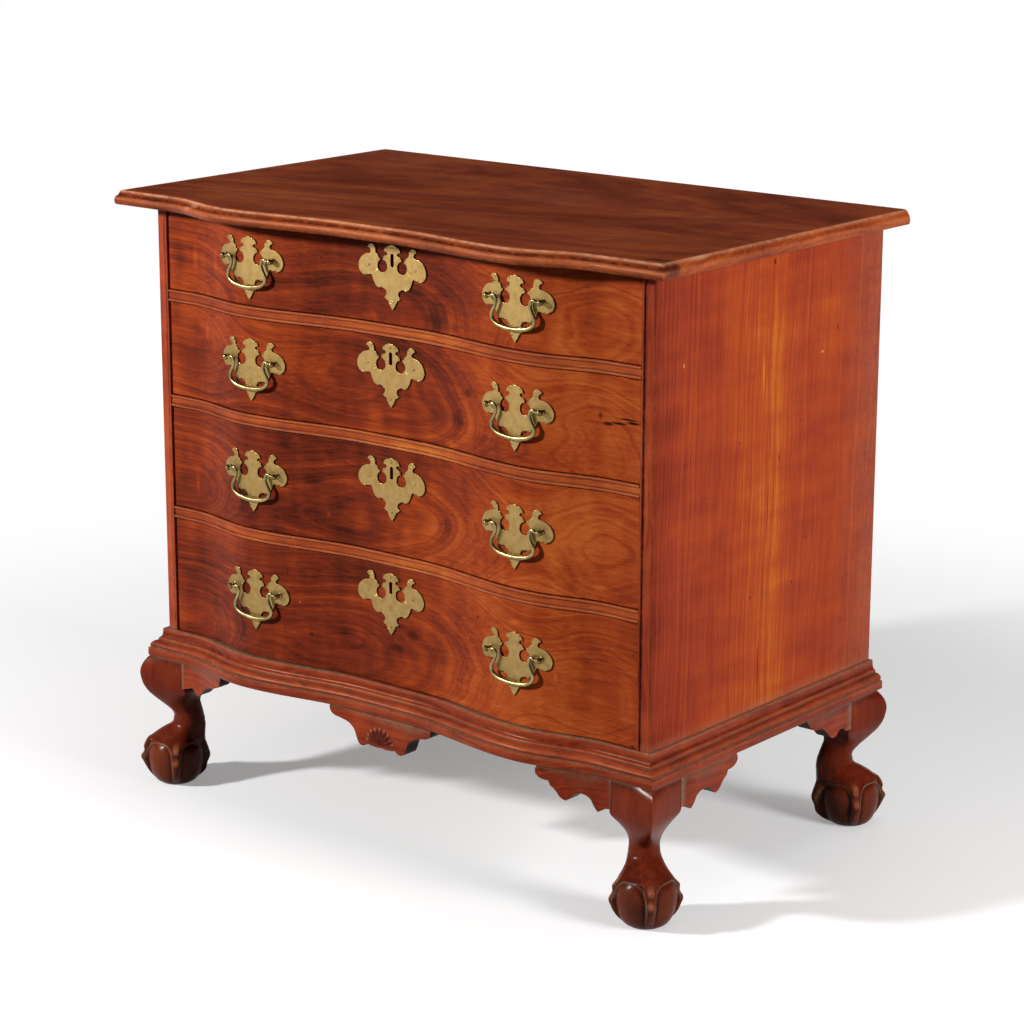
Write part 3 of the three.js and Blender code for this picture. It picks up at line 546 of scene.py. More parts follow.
# Marks of the old boards by kind: place along and across the board, half sizes and strength
FRONT_SPOTS = (
    {
        Spot.DARK: (
            (-377, 766, 22, 28, 0.35), (71, 734, 30, 16, 0.5), (109, 729, 14, 10, 0.4), (318, 759, 14, 12, 0.25),
        ),
        Spot.GOLD: (
            (-349, 769, 8, 30, 0.35), (-302, 766, 8, 20, 0.3), (-36, 728, 26, 9, 0.45), (363, 783, 24, 20, 0.3),
        ),
        Spot.BURN: ((-114, 783, 2.5, 1.2, 0.9), (86, 782, 2.5, 1.2, 0.9)),
    },
    {
        Spot.DARK: ((117, 613, 22, 16, 0.55),),
        Spot.GOLD: (
            (-326, 667, 5, 22, 0.4), (-28, 590, 26, 14, 0.5), (103, 578, 14, 8, 0.35), (332, 670, 14, 14, 0.35),
        ),
        Spot.BURN: (
            (136, 639, 9, 7, 0.5), (366, 632.5, 16, 2.2, 1.0), (339, 639, 4, 6, 0.6), (350, 630, 10, 3.4, 0.9),
            (388, 635.5, 14, 2.4, 1.0), (380, 639, 20, 1.8, 0.95),
        ),
    },
    {
        Spot.DARK: (
            (-354, 499, 20, 22, 0.4), (-128, 496, 26, 12, 0.35), (96, 471, 16, 16, 0.35), (387, 486, 12, 10, 0.3),
            (303, 428, 14, 12, 0.3),
        ),
        Spot.GOLD: (
            (-354, 454, 6, 26, 0.4), (-108, 452, 5, 6, 0.5), (21, 449, 25, 9, 0.45), (371, 523, 18, 8, 0.3),
            (340, 433, 16, 9, 0.45),
        ),
        Spot.BURN: ((-327, 503, 4, 1.5, 0.7), (-129, 430, 1.5, 3, 0.7)),
    },
    {
        Spot.DARK: ((-84, 298, 30, 14, 0.5), (5, 292, 22, 9, 0.55), (320, 336, 22, 10, 0.3)),
        Spot.GOLD: ((222, 369, 14, 6, 0.4), (282, 309, 4, 10, 0.35), (239, 242, 18, 9, 0.3)),
        Spot.BURN: (
            (-282, 347, 1.5, 4, 0.7), (-174, 353, 3, 6, 0.4), (-138, 271, 4, 3, 0.6), (32, 299, 14, 10, 0.5),
            (154, 351, 2.5, 3, 0.7), (141, 267, 1.2, 2, 0.7), (353, 343, 1.2, 2, 0.6), (391, 344, 1.2, 2.5, 0.6),
            (392, 227, 3, 2, 0.8),
        ),
        Spot.PALE: ((-155, 313, 1, 1, 0.8), (135, 319, 1, 0.8, 0.9)),
    },
)  # fmt: skip
SIDE_SPOTS = {
    Spot.GOLD: ((662, 24, 40, 4, 0.5), (697, 52, 130, 22, 0.25), (555, -76, 60, 2, 0.4)),
    Spot.BURN: (
        (584, 30, 45, 0.8, 0.75), (486, 27, 50, 0.8, 0.75), (376, 20, 55, 0.8, 0.8), (272, 13, 50, 0.9, 0.85),
        (803, 31, 5, 3, 0.8), (548, 51, 8, 1.5, 0.7), (583, -39, 2.5, 2, 0.6), (527, -111, 2, 1.6, 0.6),
        (698, 179, 6, 3, 0.5), (588, 98, 2, 1.6, 0.6), (431, 116, 3, 2, 0.6), (376, 86, 3, 2.5, 0.6),
        (416, -189, 2, 2, 0.6), (376, -8, 4, 2.5, 0.6), (246, 227, 20, 0.7, 0.5),
    ),
    Spot.PALE: ((671, 144, 2, 5, 0.4), (701, -160, 4, 1.2, 0.7)),
}  # fmt: skip
TOP_SPOTS = {
    Spot.DARK: (
        (-170, -143, 34, 4, 0.4), (-85, -152, 22, 6, 0.35), (394, 220, 26, 7, 0.45), (194, -158, 40, 4, 0.35),
        (313, -146, 60, 9, 0.3),
    ),
    Spot.BURN: ((438, -236, 30, 8, 0.6),),
    Spot.PALE: ((-396, -184, 8, 1.2, 0.5), (-367, 204, 9, 1.5, 0.5), (291, 67, 16, 0.8, 0.5)),
}  # fmt: skip
EDGE_SPOTS = {
    Spot.DARK: ((380, -255, 50, 6, 0.4),),
    Spot.GOLD: ((452, 60, 8, 40, 0.25),),
    Spot.BURN: ((455, -240, 14, 24, 0.7), (-450, -245, 20, 16, 0.6)),
    Spot.PALE: ((452, -180, 5, 34, 0.4), (-300, -266, 26, 5, 0.3)),
}  # fmt: skip


def spots(marks: dict[Spot, Table], depth: float, reach: float) -> tuple[Blemish, ...]:
    """Blemishes of a board.

    Args:
        marks: its rows of marks by kind.
        depth: place through the board of the face that shows them.
        reach: how far each one goes through the board.

    Returns:
        The blemishes.
    """
    return tuple(
        Blemish((along, across, depth), (long, wide, reach), strength, kind)
        for kind, rows in marks.items()
        for along, across, long, wide, strength in rows
    )


@dataclass(frozen=True)
class Wood:
    """Planed board under old shellac.

    Growth rings are shells about an inclined pith line, so a flat cut shows nested arcs where it
    nears the line and stripes elsewhere. Fibres are streaks drawn out along the grain.
    """

    name: str
    tones: tuple[str, str, str, str]
    grain: Grain = Grain.ACROSS
    pith: tuple[float, float, float] = (0.0, -160.0, 90.0)
    tilt: tuple[float, float] = (0.0, 4.0)
    draw_out: float = 0.06
    ring: float = 7.0
    warp: float = 11.0
    rings: float = 0.32
    fine: float = 0.22
    threads: float = 0.28
    streaks: float = 0.42
    clouds: float = 0.6
    figure: float = 0.3
    cloud_size: float = 105.0
    zones: Table = ()
    zone_axis: int = 0
    blemishes: tuple[Blemish, ...] = ()
    roughness: float = 0.42
    specular: float = 0.1
    sheen_hue: str = "#e8a070"
    coat: float = 0.0
    coat_roughness: float = 0.16
    wax_hue: str = "#85775f"
    # Hue of rubbed edges, also used for painted highlight; hue of painted shade, with some soiling
    worn_hue: str = "#c07a58"
    grime_hue: str = "#1c0b08"
    bump: float = 0.25

    def build(self) -> Material:
        """Make the material.

        Returns:
            A wood whose tone is the sum of rings, fine rings, threads, streaks, clouds, figure and zones.
        """
        material, node, size = new_material(self.name)
        apart = node("SeparateXYZ", {}, {0: size})
        board = node("CombineXYZ", {}, {i: apart.outputs[axis] for i, axis in enumerate(self.grain.value)})
        drift = {"Scale": (1 / 240, 1 / 75, 1 / 75), "Location": (self.pith[0] / 91, 0, 0)}
        wander = {"Scale": 1, "Detail": 2, "Roughness": 0.45}
        wander = node("TexNoise", wander, {"Vector": node("Mapping", drift, {0: board})})
        sway = {"operation": "MULTIPLY_ADD", 1: (0, self.warp * 2, self.warp * 2)}
        bent = node("VectorMath", sway, {0: wander.outputs[1], 2: board})
        lean = (0, np.radians(self.tilt[1]), np.radians(self.tilt[0]))
        about = {"Location": self.pith, "Rotation": lean, "Scale": (1 / self.draw_out, 1, 1)}
        about = node("Mapping", {"vector_type": "TEXTURE", **about}, {0: bent})
        radius = node("VectorMath", {"operation": "LENGTH"}, {0: about})
        ring = node("Math", {"operation": "MULTIPLY", 1: 1 / self.ring}, {0: radius.outputs["Value"]})
        band = node("TexNoise", {"noise_dimensions": "1D", "Scale": 1, "Detail": 2.5, "Roughness": 0.55}, {"W": ring})
        hair = node("TexNoise", {"noise_dimensions": "1D", "Scale": self.ring / 2, "Detail": 1}, {"W": ring})
        # Noises drawn out along the grain: length and width in millimetres, detail, roughness, swirl, shift
        thread, streak, cloud, ripple = (
            node(
                "TexNoise",
                {"Scale": 1, "Detail": detail, "Roughness": rough, "Distortion": swirl},
                {"Vector": node("Mapping", {"Scale": (1 / long, 1 / wide, 1 / wide), "Location": shift}, {0: bent})},
            )
            for long, wide, detail, rough, swirl, shift in (
                (44, 2.1, 2, 0.6, 0, (0, 0, 0)),
                (110, 7, 5, 0.7, 0, (0, 0, 0)),
                (self.cloud_size / 0.45, self.cloud_size, 3, 0.5, 0.4, self.pith),
                (26, 95, 2, 0.4, 0, (0, 0, 0)),
            )
        )
        weights = (self.rings, self.fine, self.threads, self.streaks, self.clouds, self.figure)
        tone = self.zone_tone(node, apart, 0.5 - sum(weights) / 2)
        for weight, noise in zip(weights, (band, hair, thread, streak, cloud, ripple)):
            tone = node("Math", {"operation": "MULTIPLY_ADD", 1: weight}, {0: noise, 2: tone})
        for spot in self.blemishes:
            if isinstance(spot.kind.value, float):
                shift = spot.amount(node, bent, 1.0, spot.strength * spot.kind.value)
                tone = node("Math", {"operation": "ADD"}, {0: tone, 1: shift})
        ramp = node("ValToRGB", {}, {0: tone})
        fill_ramp(ramp, [(at, linear(hue)) for at, hue in zip((0.18, 0.42, 0.6, 0.86), self.tones)])
        # Pores of 9 by 1.1 mm: real ones are about a third of that, too fine to show
        pores = node("Mapping", {"Scale": (1 / 9, 1 / 1.1, 1 / 1.1)}, {0: board})
        pore = node("TexNoise", {"Scale": 1, "Detail": 1}, {"Vector": pores})
        dash = node("MapRange", {"From Min": 0.3, "From Max": 0.42, "To Min": 0.62, "To Max": 1}, {0: pore})
        colour = node("Mix", {"data_type": "RGBA", "blend_type": "MULTIPLY", 0: 0.4}, {6: ramp, 7: dash})
        for spot in self.blemishes:
            if isinstance(spot.kind.value, str):
                cover = {0: spot.amount(node, board, 0.6, spot.strength), 6: colour.outputs[2]}
                colour = node("Mix", {"data_type": "RGBA", 7: linear(spot.kind.value)}, cover)
        colour = self.weathered(node, size, colour)
        shine = {"From Min": 0.3, "From Max": 0.7, "To Min": self.roughness + 0.06, "To Max": self.roughness - 0.05}
        relief = node("Math", {"operation": "MULTIPLY_ADD", 1: 0.4}, {0: streak, 2: dash})
        bump = node("Bump", {"Strength": self.bump, "Distance": 0.0002}, {"Height": relief})
        settings = {
            "Specular IOR Level": self.specular,
            "Specular Tint": linear(self.sheen_hue),
            "Coat Weight": self.coat,
            "Coat Roughness": self.coat_roughness,
        }
        close_material(node, settings, colour.outputs[2], node("MapRange", shine, {0: cloud}), bump)
        return material

    def zone_tone(self, node: partial, apart: Node, base: float) -> Node:
        """Tone that changes in wide zones along one of the object's axes.

        Args:
            node: adds a node to the material.
            apart: node that gives the place in millimetres, one output an axis.
            base: tone to which the zones add.

        Returns:
            The node that gives the tone.
        """
        if not self.zones:
            return node("Math", {"operation": "ADD", 0: base, 1: 0.0})
        low, high = self.zones[0][0], self.zones[-1][0]
        share = node("MapRange", {"From Min": low, "From Max": high}, {0: apart.outputs[self.zone_axis]})
        ramp = node("ValToRGB", {}, {0: share})
        ramp.color_ramp.interpolation = "EASE"
        fill_ramp(ramp, [((at - low) / (high - low), (tone + 0.5,) * 3 + (1.0,)) for at, tone in self.zones])
        return node("Math", {"operation": "ADD", 1: base - 0.5}, {0: ramp})

    def weathered(self, node: partial, size: Node, colour: Node) -> Node:
        """Lay painted shade with some real soiling, rubbing with painted highlight, and old wax over the colour where
        the piece's marks say, broken up by a fine noise.

        Args:
            node: adds a node to the material.
            size: node with the place in millimetres.
            colour: node that mixes the colour so far.

        Returns:
            The last node that mixes the colour.
        """
        near = node("VectorMath", {"operation": "SCALE", "Scale": 1 / 9}, {0: size})
        grit = node("TexNoise", {"Scale": 1, "Detail": 3, "Roughness": 0.6}, {"Vector": near})
        broken = node("MapRange", {"From Min": 0.3, "From Max": 0.62, "To Min": 0.25, "To Max": 1}, {0: grit})
        # The first mark darkens with painted shade and some soiling, the second lightens with painted highlight and
        # rubbing, the third is old wax
        layers = {"grime": (self.grime_hue, 1.0), "wear": (self.worn_hue, 0.8), "wax": (self.wax_hue, 0.9)}
        for name, (hue, whole) in layers.items():
            mark = node("Attribute", {"attribute_name": name}).outputs["Fac"]
            amount = node("Math", {"operation": "MULTIPLY", "use_clamp": True}, {0: mark, 1: broken})
            part = node("Math", {"operation": "MULTIPLY", 1: whole}, {0: amount})
            colour = node("Mix", {"data_type": "RGBA", 7: linear(hue)}, {0: part, 6: colour.outputs[2]})
        return colour


@dataclass(frozen=True)
class Brass:
    """Cast and filed brass under old lacquer: yellow, matt, with brown tarnish in soft patches."""

    name: str
    bright: str
    dull: str
    tarnish: str
    roughness: float
    patch: float = 11.0
    bump: float = 0.2

    def build(self) -> Material:
        """Make the material.

        Returns:
            A metal whose colour goes from bright to dull in patches and to tarnish in small specks.
        """
        material, node, size = new_material(self.name)
        wide = node("TexNoise", {"Scale": 1 / self.patch, "Detail": 4, "Roughness": 0.6}, {"Vector": size})
        small = node("TexNoise", {"Scale": 1 / 2.4, "Detail": 3, "Roughness": 0.6}, {"Vector": size})
        ramp = node("ValToRGB", {}, {0: wide})
        fill_ramp(ramp, [(0.34, linear(self.dull)), (0.62, linear(self.bright))])
        speck = node("MapRange", {"From Min": 0.36, "From Max": 0.28, "To Max": 0.75}, {0: small})
        colour = node("Mix", {"data_type": "RGBA", 7: linear(self.tarnish)}, {0: speck, 6: ramp})
        shine = {"From Min": 0.3, "From Max": 0.7, "To Min": self.roughness + 0.08, "To Max": self.roughness - 0.06}
        bump = node("Bump", {"Strength": self.bump, "Distance": 0.0002}, {"Height": small})
        close_material(node, {"Metallic": 1.0}, colour.outputs[2], node("MapRange", shine, {0: wide}), bump)
        return material


@dataclass(frozen=True)
class Iron:
    """Forged iron of the locks: grey-brown, with rust in small patches."""

    name: str
    bare: str
    rust: str

    def build(self) -> Material:
        """Make the material.

        Returns:
            A metal that turns to rust and grows rough in patches.
        """
        material, node, size = new_material(self.name)
        patch = node("TexNoise", {"Scale": 1 / 6, "Detail": 5, "Roughness": 0.65}, {"Vector": size})
        ramp = node("ValToRGB", {}, {0: patch})
        fill_ramp(ramp, [(0.42, linear(self.bare)), (0.6, linear(self.rust))])
        rough = node("MapRange", {"From Min": 0.4, "From Max": 0.6, "To Min": 0.45, "To Max": 0.8}, {0: patch})
        bump = node("Bump", {"Strength": 0.4, "Distance": 0.0003}, {"Height": patch})
        close_material(node, {"Metallic": 0.85}, ramp.outputs[0], rough, bump)
        return material


FRONT_TONES = ("#441810", "#7b2d18", "#9e401b", "#c2602b")
TRIM_TONES = ("#4f190f", "#7d2a17", "#973a1d", "#b4532a")
CARVED_TONES = ("#3a120b", "#68210f", "#7d2d16", "#954526")
RAIL_TONES = ("#642214", "#963d20", "#b05127", "#cf7632")
EDGE_TONES = ("#54200f", "#8c3a1c", "#a84e25", "#c26c3c")
SIDE_TONES = ("#6e2619", "#993a24", "#b04922", "#d0772b")
STILE_TONES = ("#5c2014", "#903521", "#aa492a", "#c0613d")
TOP_TONES = ("#4b190c", "#712b13", "#8d3d18", "#b05c27")
CUT_TONES = ("#140705", "#220c08", "#2e120b", "#451d11")
PINE_TONES = ("#7d5730", "#a07748", "#b58d5c", "#c7a272")
# Wide lighter and darker zones: place in millimetres and what it adds to the tone. The fronts' zones mix the boards'
# own tone with painted light that brightens them towards their right ends
HIGH_ZONES = (
    (-400, -0.04), (-300, -0.04), (-240, 0.0), (-60, -0.12), (60, -0.1), (200, 0.06), (300, 0.16), (400, 0.12),
)  # fmt: skip
LOW_ZONES = (
    (-400, -0.06), (-300, -0.08), (-240, -0.18), (-60, -0.16), (60, 0.0), (200, 0.09), (300, 0.18), (400, 0.12),
)  # fmt: skip
SIDE_ZONES = ((-220, -0.16), (-130, -0.08), (-40, 0.04), (40, 0.12), (90, 0.0), (170, 0.02), (282, -0.1))
RAIL_ZONES = ((-400, -0.1), (-150, 0.0), (60, 0.16), (200, 0.04), (400, 0.06))


@dataclass(frozen=True)
class Finishes:
    """All the materials of the chest, made once."""

    top: Material
    top_edge: Material
    fronts: tuple[Material, ...]
    left_side: Material
    right_side: Material
    rail: Material
    trim: Material
    side_trim: Material
    stile: Material
    cut: Material
    carved: Material
    pine: Material
    pine_deep: Material
    plate: Material
    plate_edge: Material
    bail: Material
    post: Material
    iron: Material

    @staticmethod
    def mixed() -> "Finishes":
        """Make every material.

        Returns:
            The set that the pieces draw on.
        """
        top = partial(Wood, grain=Grain.TOP, pith=(0, 120, -260))
        upright = partial(Wood, grain=Grain.UPRIGHT, tilt=(1, 1))
        trim = partial(Wood, pith=(0, -200, 160))
        waxed = {"roughness": 0.35, "specular": 0.22}
        pine = partial(
            Wood, tones=PINE_TONES, pith=(0, -90, 70), ring=11, roughness=0.7, specular=0.3, sheen_hue="#ffffff",
            rings=0.6, bump=0.4,
        )  # fmt: skip
        drawers = zip(
            ((460, 752, -60), (430, 600, -70), (455, 478, -64), (440, 300, -72)),
            ((3, -7), (-4, -8), (2, -7), (3, -8)),
            (HIGH_ZONES, HIGH_ZONES, LOW_ZONES, LOW_ZONES),
            (spots(marks, -230, 60) for marks in FRONT_SPOTS),
        )
        return Finishes(
            # Mahogany top under old shellac: dark red-brown, matt sheen, long quiet stripes
            top=top(
                "mahogany_top", TOP_TONES, tilt=(1, 3), figure=0.15, roughness=0.37, specular=0.01,
                blemishes=spots(TOP_SPOTS, 842, 9),
            ).build(),
            # Mahogany edge: redder and lighter than the top it runs round; its rubbed hue on the arris and round also
            # paints highlights
            top_edge=top(
                "mahogany_top_edge", EDGE_TONES, roughness=0.35, worn_hue="#d09672",
                blemishes=spots(EDGE_SPOTS, 833, 14),
            ).build(),
            # Figured mahogany fronts, each from its own plank: nested arcs and dark clouds, with painted light
            # towards their right ends
            fronts=tuple(
                Wood(
                    f"mahogany_drawer_{number}", FRONT_TONES, pith=pith, tilt=tilt, zones=zones, blemishes=marks
                ).build()
                for number, (pith, tilt, zones, marks) in enumerate(drawers, 1)
            ),
            # Sun-bleached mahogany sides: orange red with upright stripes
            left_side=upright("mahogany_left_side", SIDE_TONES, pith=(300, 800, -40), streaks=0.34).build(),
            right_side=upright(
                "mahogany_right_side", SIDE_TONES, pith=(300, 800, 40), zones=SIDE_ZONES, zone_axis=1,
                streaks=0.26, threads=0.2, clouds=0.28, specular=0.04, blemishes=spots(SIDE_SPOTS, 419, 30),
            ).build(),
            # Rails between the drawers: straight grain, rubbed to a lighter orange in the middle
            rail=trim(
                "mahogany_rail", RAIL_TONES, tilt=(1, 1), clouds=0.4, zones=RAIL_ZONES, specular=0.15
            ).build(),
            # Straight-grained mahogany of mouldings and brackets
            trim=trim("mahogany_trim", TRIM_TONES, tilt=(1, 1), clouds=0.4, **waxed).build(),
            side_trim=trim("mahogany_side_trim", TRIM_TONES, grain=Grain.BACKWARDS, **waxed).build(),
            # Front edges of the side boards: upright grain, browner than the rails
            stile=upright("mahogany_stile", STILE_TONES, pith=(0, 0, 160), roughness=0.38, specular=0.15).build(),
            # Sawn end grain of the brackets and pendant: darker end grain, made nearly black as painted shade on
            # their undersides
            cut=Wood("mahogany_sawn_edge", CUT_TONES, roughness=0.5).build(),
            # Carved mahogany of the legs: dense, dark and polished by handling
            carved=Wood(
                "mahogany_carved", CARVED_TONES, Grain.UPRIGHT, pith=(0, 30, 160), rings=0.1, fine=0.05, threads=0.12,
                streaks=0.3, figure=0.1, cloud_size=40, roughness=0.34, specular=0.06, coat=0.08, coat_roughness=0.18,
                sheen_hue="#f0c8b0",
            ).build(),
            # White pine of the inside: planed, unfinished and browned by air
            pine=pine("pine_inside").build(),
            pine_deep=pine("pine_drawer_side", grain=Grain.BACKWARDS).build(),
            # Cast brass of the plates: flat faces matt with age, filed rims and holes rubbed brighter
            plate=Brass("brass_plate", "#9d8150", "#8c7041", "#614720", 0.5).build(),
            plate_edge=Brass("brass_plate_edge", "#bda368", "#7d6638", "#3a2d14", 0.38).build(),
            # Drawn brass of the bails, olive and smooth where hands hold them
            bail=Brass("brass_bail", "#9f8f62", "#796b45", "#463920", 0.34, patch=16, bump=0.03).build(),
            # Turned brass of posts and pins, darker all over than the plates: painted shade for the dark rings that
            # shadows draw round the heads, with brown tarnish specks
            post=Brass("brass_post", "#8d7c4e", "#5f5231", "#2c2311", 0.3, patch=5, bump=0.05).build(),
            # Forged iron of the locks: dull grey with rust
            iron=Iron("forged_iron", "#5a544d", "#5b3a26").build(),
        )  # fmt: skip


# --------------------------------------------------------------------------------------- pieces


def add_piece(
    name: str,
    shell: Shell,
    finishes: tuple[Material, ...],
    body: str,
    stands_for: tuple[str, ...] = (),
    bevel: float = 0,
    bevel_finish: int = -1,
    sharp: float = 35,
) -> bpy.types.Object:
    """Make a piece of a shell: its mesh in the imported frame, dressed and riding on its body.

    Args:
        name: the piece's name.
        shell: its surface in millimetres.
        finishes: materials by the shell's finish numbers.
        body: CAD body on which it rides.
        stands_for: CAD nodes that it replaces.
        bevel: width of the eased edges, 0 for none.
        bevel_finish: finish of the eased edges, -1 for that of their neighbours.
        sharp: angle in degrees past which an edge stays crisp.

    Returns:
        The piece's object.
    """
    metres = (shell.points + (0, ORIGIN_Y, 0)) / 1000
    mesh = bpy.data.meshes.new(name)
    mesh.from_pydata(metres.tolist(), [], [row for block, _ in shell.faces for row in block.tolist()])
    tones = np.concatenate([np.full(len(block), tone) for block, tone in shell.faces])
    mesh.polygons.foreach_set("material_index", tones.astype(np.int32))
    mesh.polygons.foreach_set("use_smooth", np.ones(len(tones), bool))
    for mark, values in shell.marks.items():
        layer = mesh.attributes.new(mark, "FLOAT", "POINT")
        layer.data.foreach_set("value", np.clip(values, 0, 1).astype(np.float32))
    for material in finishes:
        mesh.materials.append(material)
    mesh.update()
    mesh.set_sharp_from_angle(angle=np.radians(sharp))
    piece = bpy.data.objects.new(name, mesh)
    bpy.context.scene.collection.objects.link(piece)
    if bevel:
        eased = piece.modifiers.new("eased_edges", "BEVEL")
        eased.width = bevel / 1000
        eased.segments = 2
        eased.limit_method = "ANGLE"
        eased.angle_limit = np.radians(40)
        eased.use_clamp_overlap = False
        eased.harden_normals = True
        eased.material = bevel_finish
    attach(piece, body)
    if stands_for:
        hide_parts(*stands_for)
    LOG.info("%s: %d points on %s", name, len(shell.points), body)
    return piece


@dataclass
class TopBoard:
    """One wide plank with a moulded edge along its front and sides and a plain back."""

    finishes: Finishes
    underside: float = 822.5
    thickness: float = 19.5
    side_overhang: float = 40.0
    front_overhang: float = 41.0
    front_points: int = 185
    side_points: int = 30
    # Edge from the underside to the face: height, inset in front and at the sides, painted shade under the edge and
    # in its quirk with some soiling, and rubbing with painted highlight on the arris and the round
    edge: Table = (
        (0.0, 2.9, 2.9, 0.9, 0.0), (0.5, 1.5, 1.5, 0.8, 0.0), (2.6, 0.4, 0.4, 0.55, 0.0), (5.4, 0.0, 0.0, 0.25, 0.1),
        (8.0, 0.3, 0.2, 0.0, 0.3), (10.2, 1.2, 0.8, 0.0, 0.15), (11.6, 2.5, 1.35, 0.4, 0.0),
        (11.9, 3.0, 1.5, 0.9, 0.0), (11.95, 3.2, 1.55, 1.0, 0.0), (12.2, 5.2, 1.75, 0.8, 0.0),
        (13.2, 6.0, 2.4, 0.8, 0.0), (15.2, 6.1, 3.6, 0.5, 0.0), (17.2, 6.3, 5.0, 0.0, 0.6),
        (18.6, 6.8, 6.3, 0.0, 1.0), (19.3, 7.6, 7.6, 0.0, 0.8), (19.5, 9.0, 9.0, 0.1, 0.2),
        (19.5, 22.0, 22.0, 0.1, 0.0),
    )  # fmt: skip

    def ring(self, front: Array, side: Array) -> Array:
        """Outline of the board at each inset.

        A front point is (share * (half width less side inset), front inset - overhang + wave); the
        sides run straight back from the front corners.

        Args:
            front: how far each level stands in along the front.
            side: how far it stands in along the sides.

        Returns:
            Points by level and place, without their height.
        """
        half = CASE_HALF + self.side_overhang
        share = np.linspace(-1, 1, self.front_points)
        front, side = front[:, None], side[:, None]
        front_x = share * (half - side)
        front_y = front - self.front_overhang + TOP_LINE.depth(share * half)
        back = np.linspace(0, 1, self.side_points)[1:]
        corner = front - self.front_overhang
        side_y = corner * (1 - back) + CASE_DEPTH * back
        side_x = (half - side) + 0 * back
        x = np.concatenate([front_x, side_x, -side_x[:, ::-1]], axis=1)
        y = np.concatenate([front_y, side_y, side_y[:, ::-1]], axis=1)
        return np.stack([x, y], axis=-1)

    def build(self) -> None:
        """Make the board."""
        levels = np.array(self.edge)
        flat = self.ring(levels[:, 1], levels[:, 2])
        z = self.underside + levels[:, 0]
        rings = np.concatenate([flat, np.broadcast_to(z[:, None, None], (*flat.shape[:2], 1))], axis=-1)
        in_front = np.arange(flat.shape[1]) < self.front_points
        # The quirk's painted shade and the edge's painted highlight are kept weaker along the sides
        grime = levels[:, 3:4] * np.where(in_front, 1, 0.25)
        wear = levels[:, 4:5] * np.where(in_front, 1, 0.7)
        shell = loft(rings, {"grime": grime, "wear": wear}, tone=1)
        quads, caps = shell.faces
        on_face = shell.points[quads[0]][:, :, 2].min(axis=1) > self.underside + self.thickness - 0.25
        faces = [(quads[0][~on_face], 1), (quads[0][on_face], 0), (caps[0], 0)]
        shell = Shell(shell.points, faces, shell.marks)
        finishes = (self.finishes.top, self.finishes.top_edge)
        add_piece("moulded_top", shell, finishes, "case", ("top_board",))


@dataclass
class SideBoards:
    """The two side boards, each with a bead down its inner front edge."""

    finishes: Finishes
    bead_width: float = 4.0
    top: float = 822.2

    def build(self) -> None:
        """Make both boards."""
        for hand, side, finish in (("left", -1, self.finishes.left_side), ("right", 1, self.finishes.right_side)):
            shell = joined(self.board(side), self.bead(side))
            finishes = (finish, self.finishes.stile)
            add_piece(f"{hand}_side_board", shell, finishes, "case", (f"{hand}_side",))

    def board(self, side: int) -> Shell:
        """Board of one side: its plan, with eased front corner and the rabbet for the back, carried upwards.

        Args:
            side: -1 for the left, 1 for the right.

        Returns:
            The board.
        """
        # Plan: across and depth, painted shade in the bead's quirk and at the corners with some soiling, and wear
        plan = np.array(
            [
                (400, 489, 0, 0), (400, 300, 0, 0), (400, 60, 0, 0), (400, 0.8, 0, 0), (400.4, 0, 0.8, 0),
                (403.4, 0, 0.9, 0), (404.3, 0.7, 1, 0), (405.2, 0, 0.7, 0), (409, 0, 0, 0), (416.6, 0, 0, 0),
                (417.9, 0.25, 0.25, 0), (418.75, 1.1, 0.5, 0), (419, 2.4, 0.3, 0), (419, 12, 0, 0), (419, 200, 0, 0),
                (419, 400, 0, 0), (419, 499.6, 0, 0.3), (418.6, 501, 0, 0.5), (409, 501, 0.2, 0), (409, 489, 0.4, 0),
            ]
        )  # fmt: skip
        z = np.linspace(LEG_TOP, self.top, 65)[:, None]
        rings = np.stack([side * plan[:, 0] + 0 * z, plan[:, 1] + 0 * z, z + 0 * plan[:, 0]], axis=-1)
        # Painted shade in a band under the top board's overhang, and a wax line along the moulding
        marks = {
            "grime": plan[:, 2] + np.exp(-(((self.top - z) / 5) ** 2)) * 0.7,
            "wear": plan[:, 3] + 0 * z,
            "wax": np.exp(-(((z - BASE_TOP) / 3) ** 2)) * np.ones(len(plan)) * 0.5,
        }
        shell = loft(rings, marks)
        quads, caps = shell.faces
        facing = np.tile((np.arange(len(plan)) > 2) & (np.arange(len(plan)) < 12), len(z) - 1)
        return Shell(shell.points, [(quads[0][~facing], 0), (quads[0][facing], 1), caps], shell.marks)

    def bead(self, side: int) -> Shell:
        """Round bead of one side, from the moulding up.

        Its front is a half-ellipse: it goes round by the cosine across and the sine towards the viewer.

        Args:
            side: -1 for the left, 1 for the right.

        Returns:
            The bead.
        """
        angle, half = np.linspace(0, np.pi, 9), self.bead_width / 2
        curve = np.column_stack([OPENING_HALF + half - half * np.cos(angle), -BEAD_PROUD * np.sin(angle)])
        plan = np.concatenate([curve, [(403.6, 1.2), (400.4, 1.2)]])
        z = np.linspace(BASE_TOP + GAP, self.top, 60)[:, None]
        rings = np.stack([side * plan[:, 0] + 0 * z, plan[:, 1] + 0 * z, z + 0 * plan[:, 0]], axis=-1)
        crest = np.concatenate([np.sin(angle) ** 3, [0, 0]])
        # Painted highlight with some rubbing on the bead's crest, and painted shade on its flanks
        marks = {"wear": crest * 0.12 + 0 * z, "grime": (1 - crest) * 0.8 + 0 * z}
        return loft(rings, marks, tone=1)


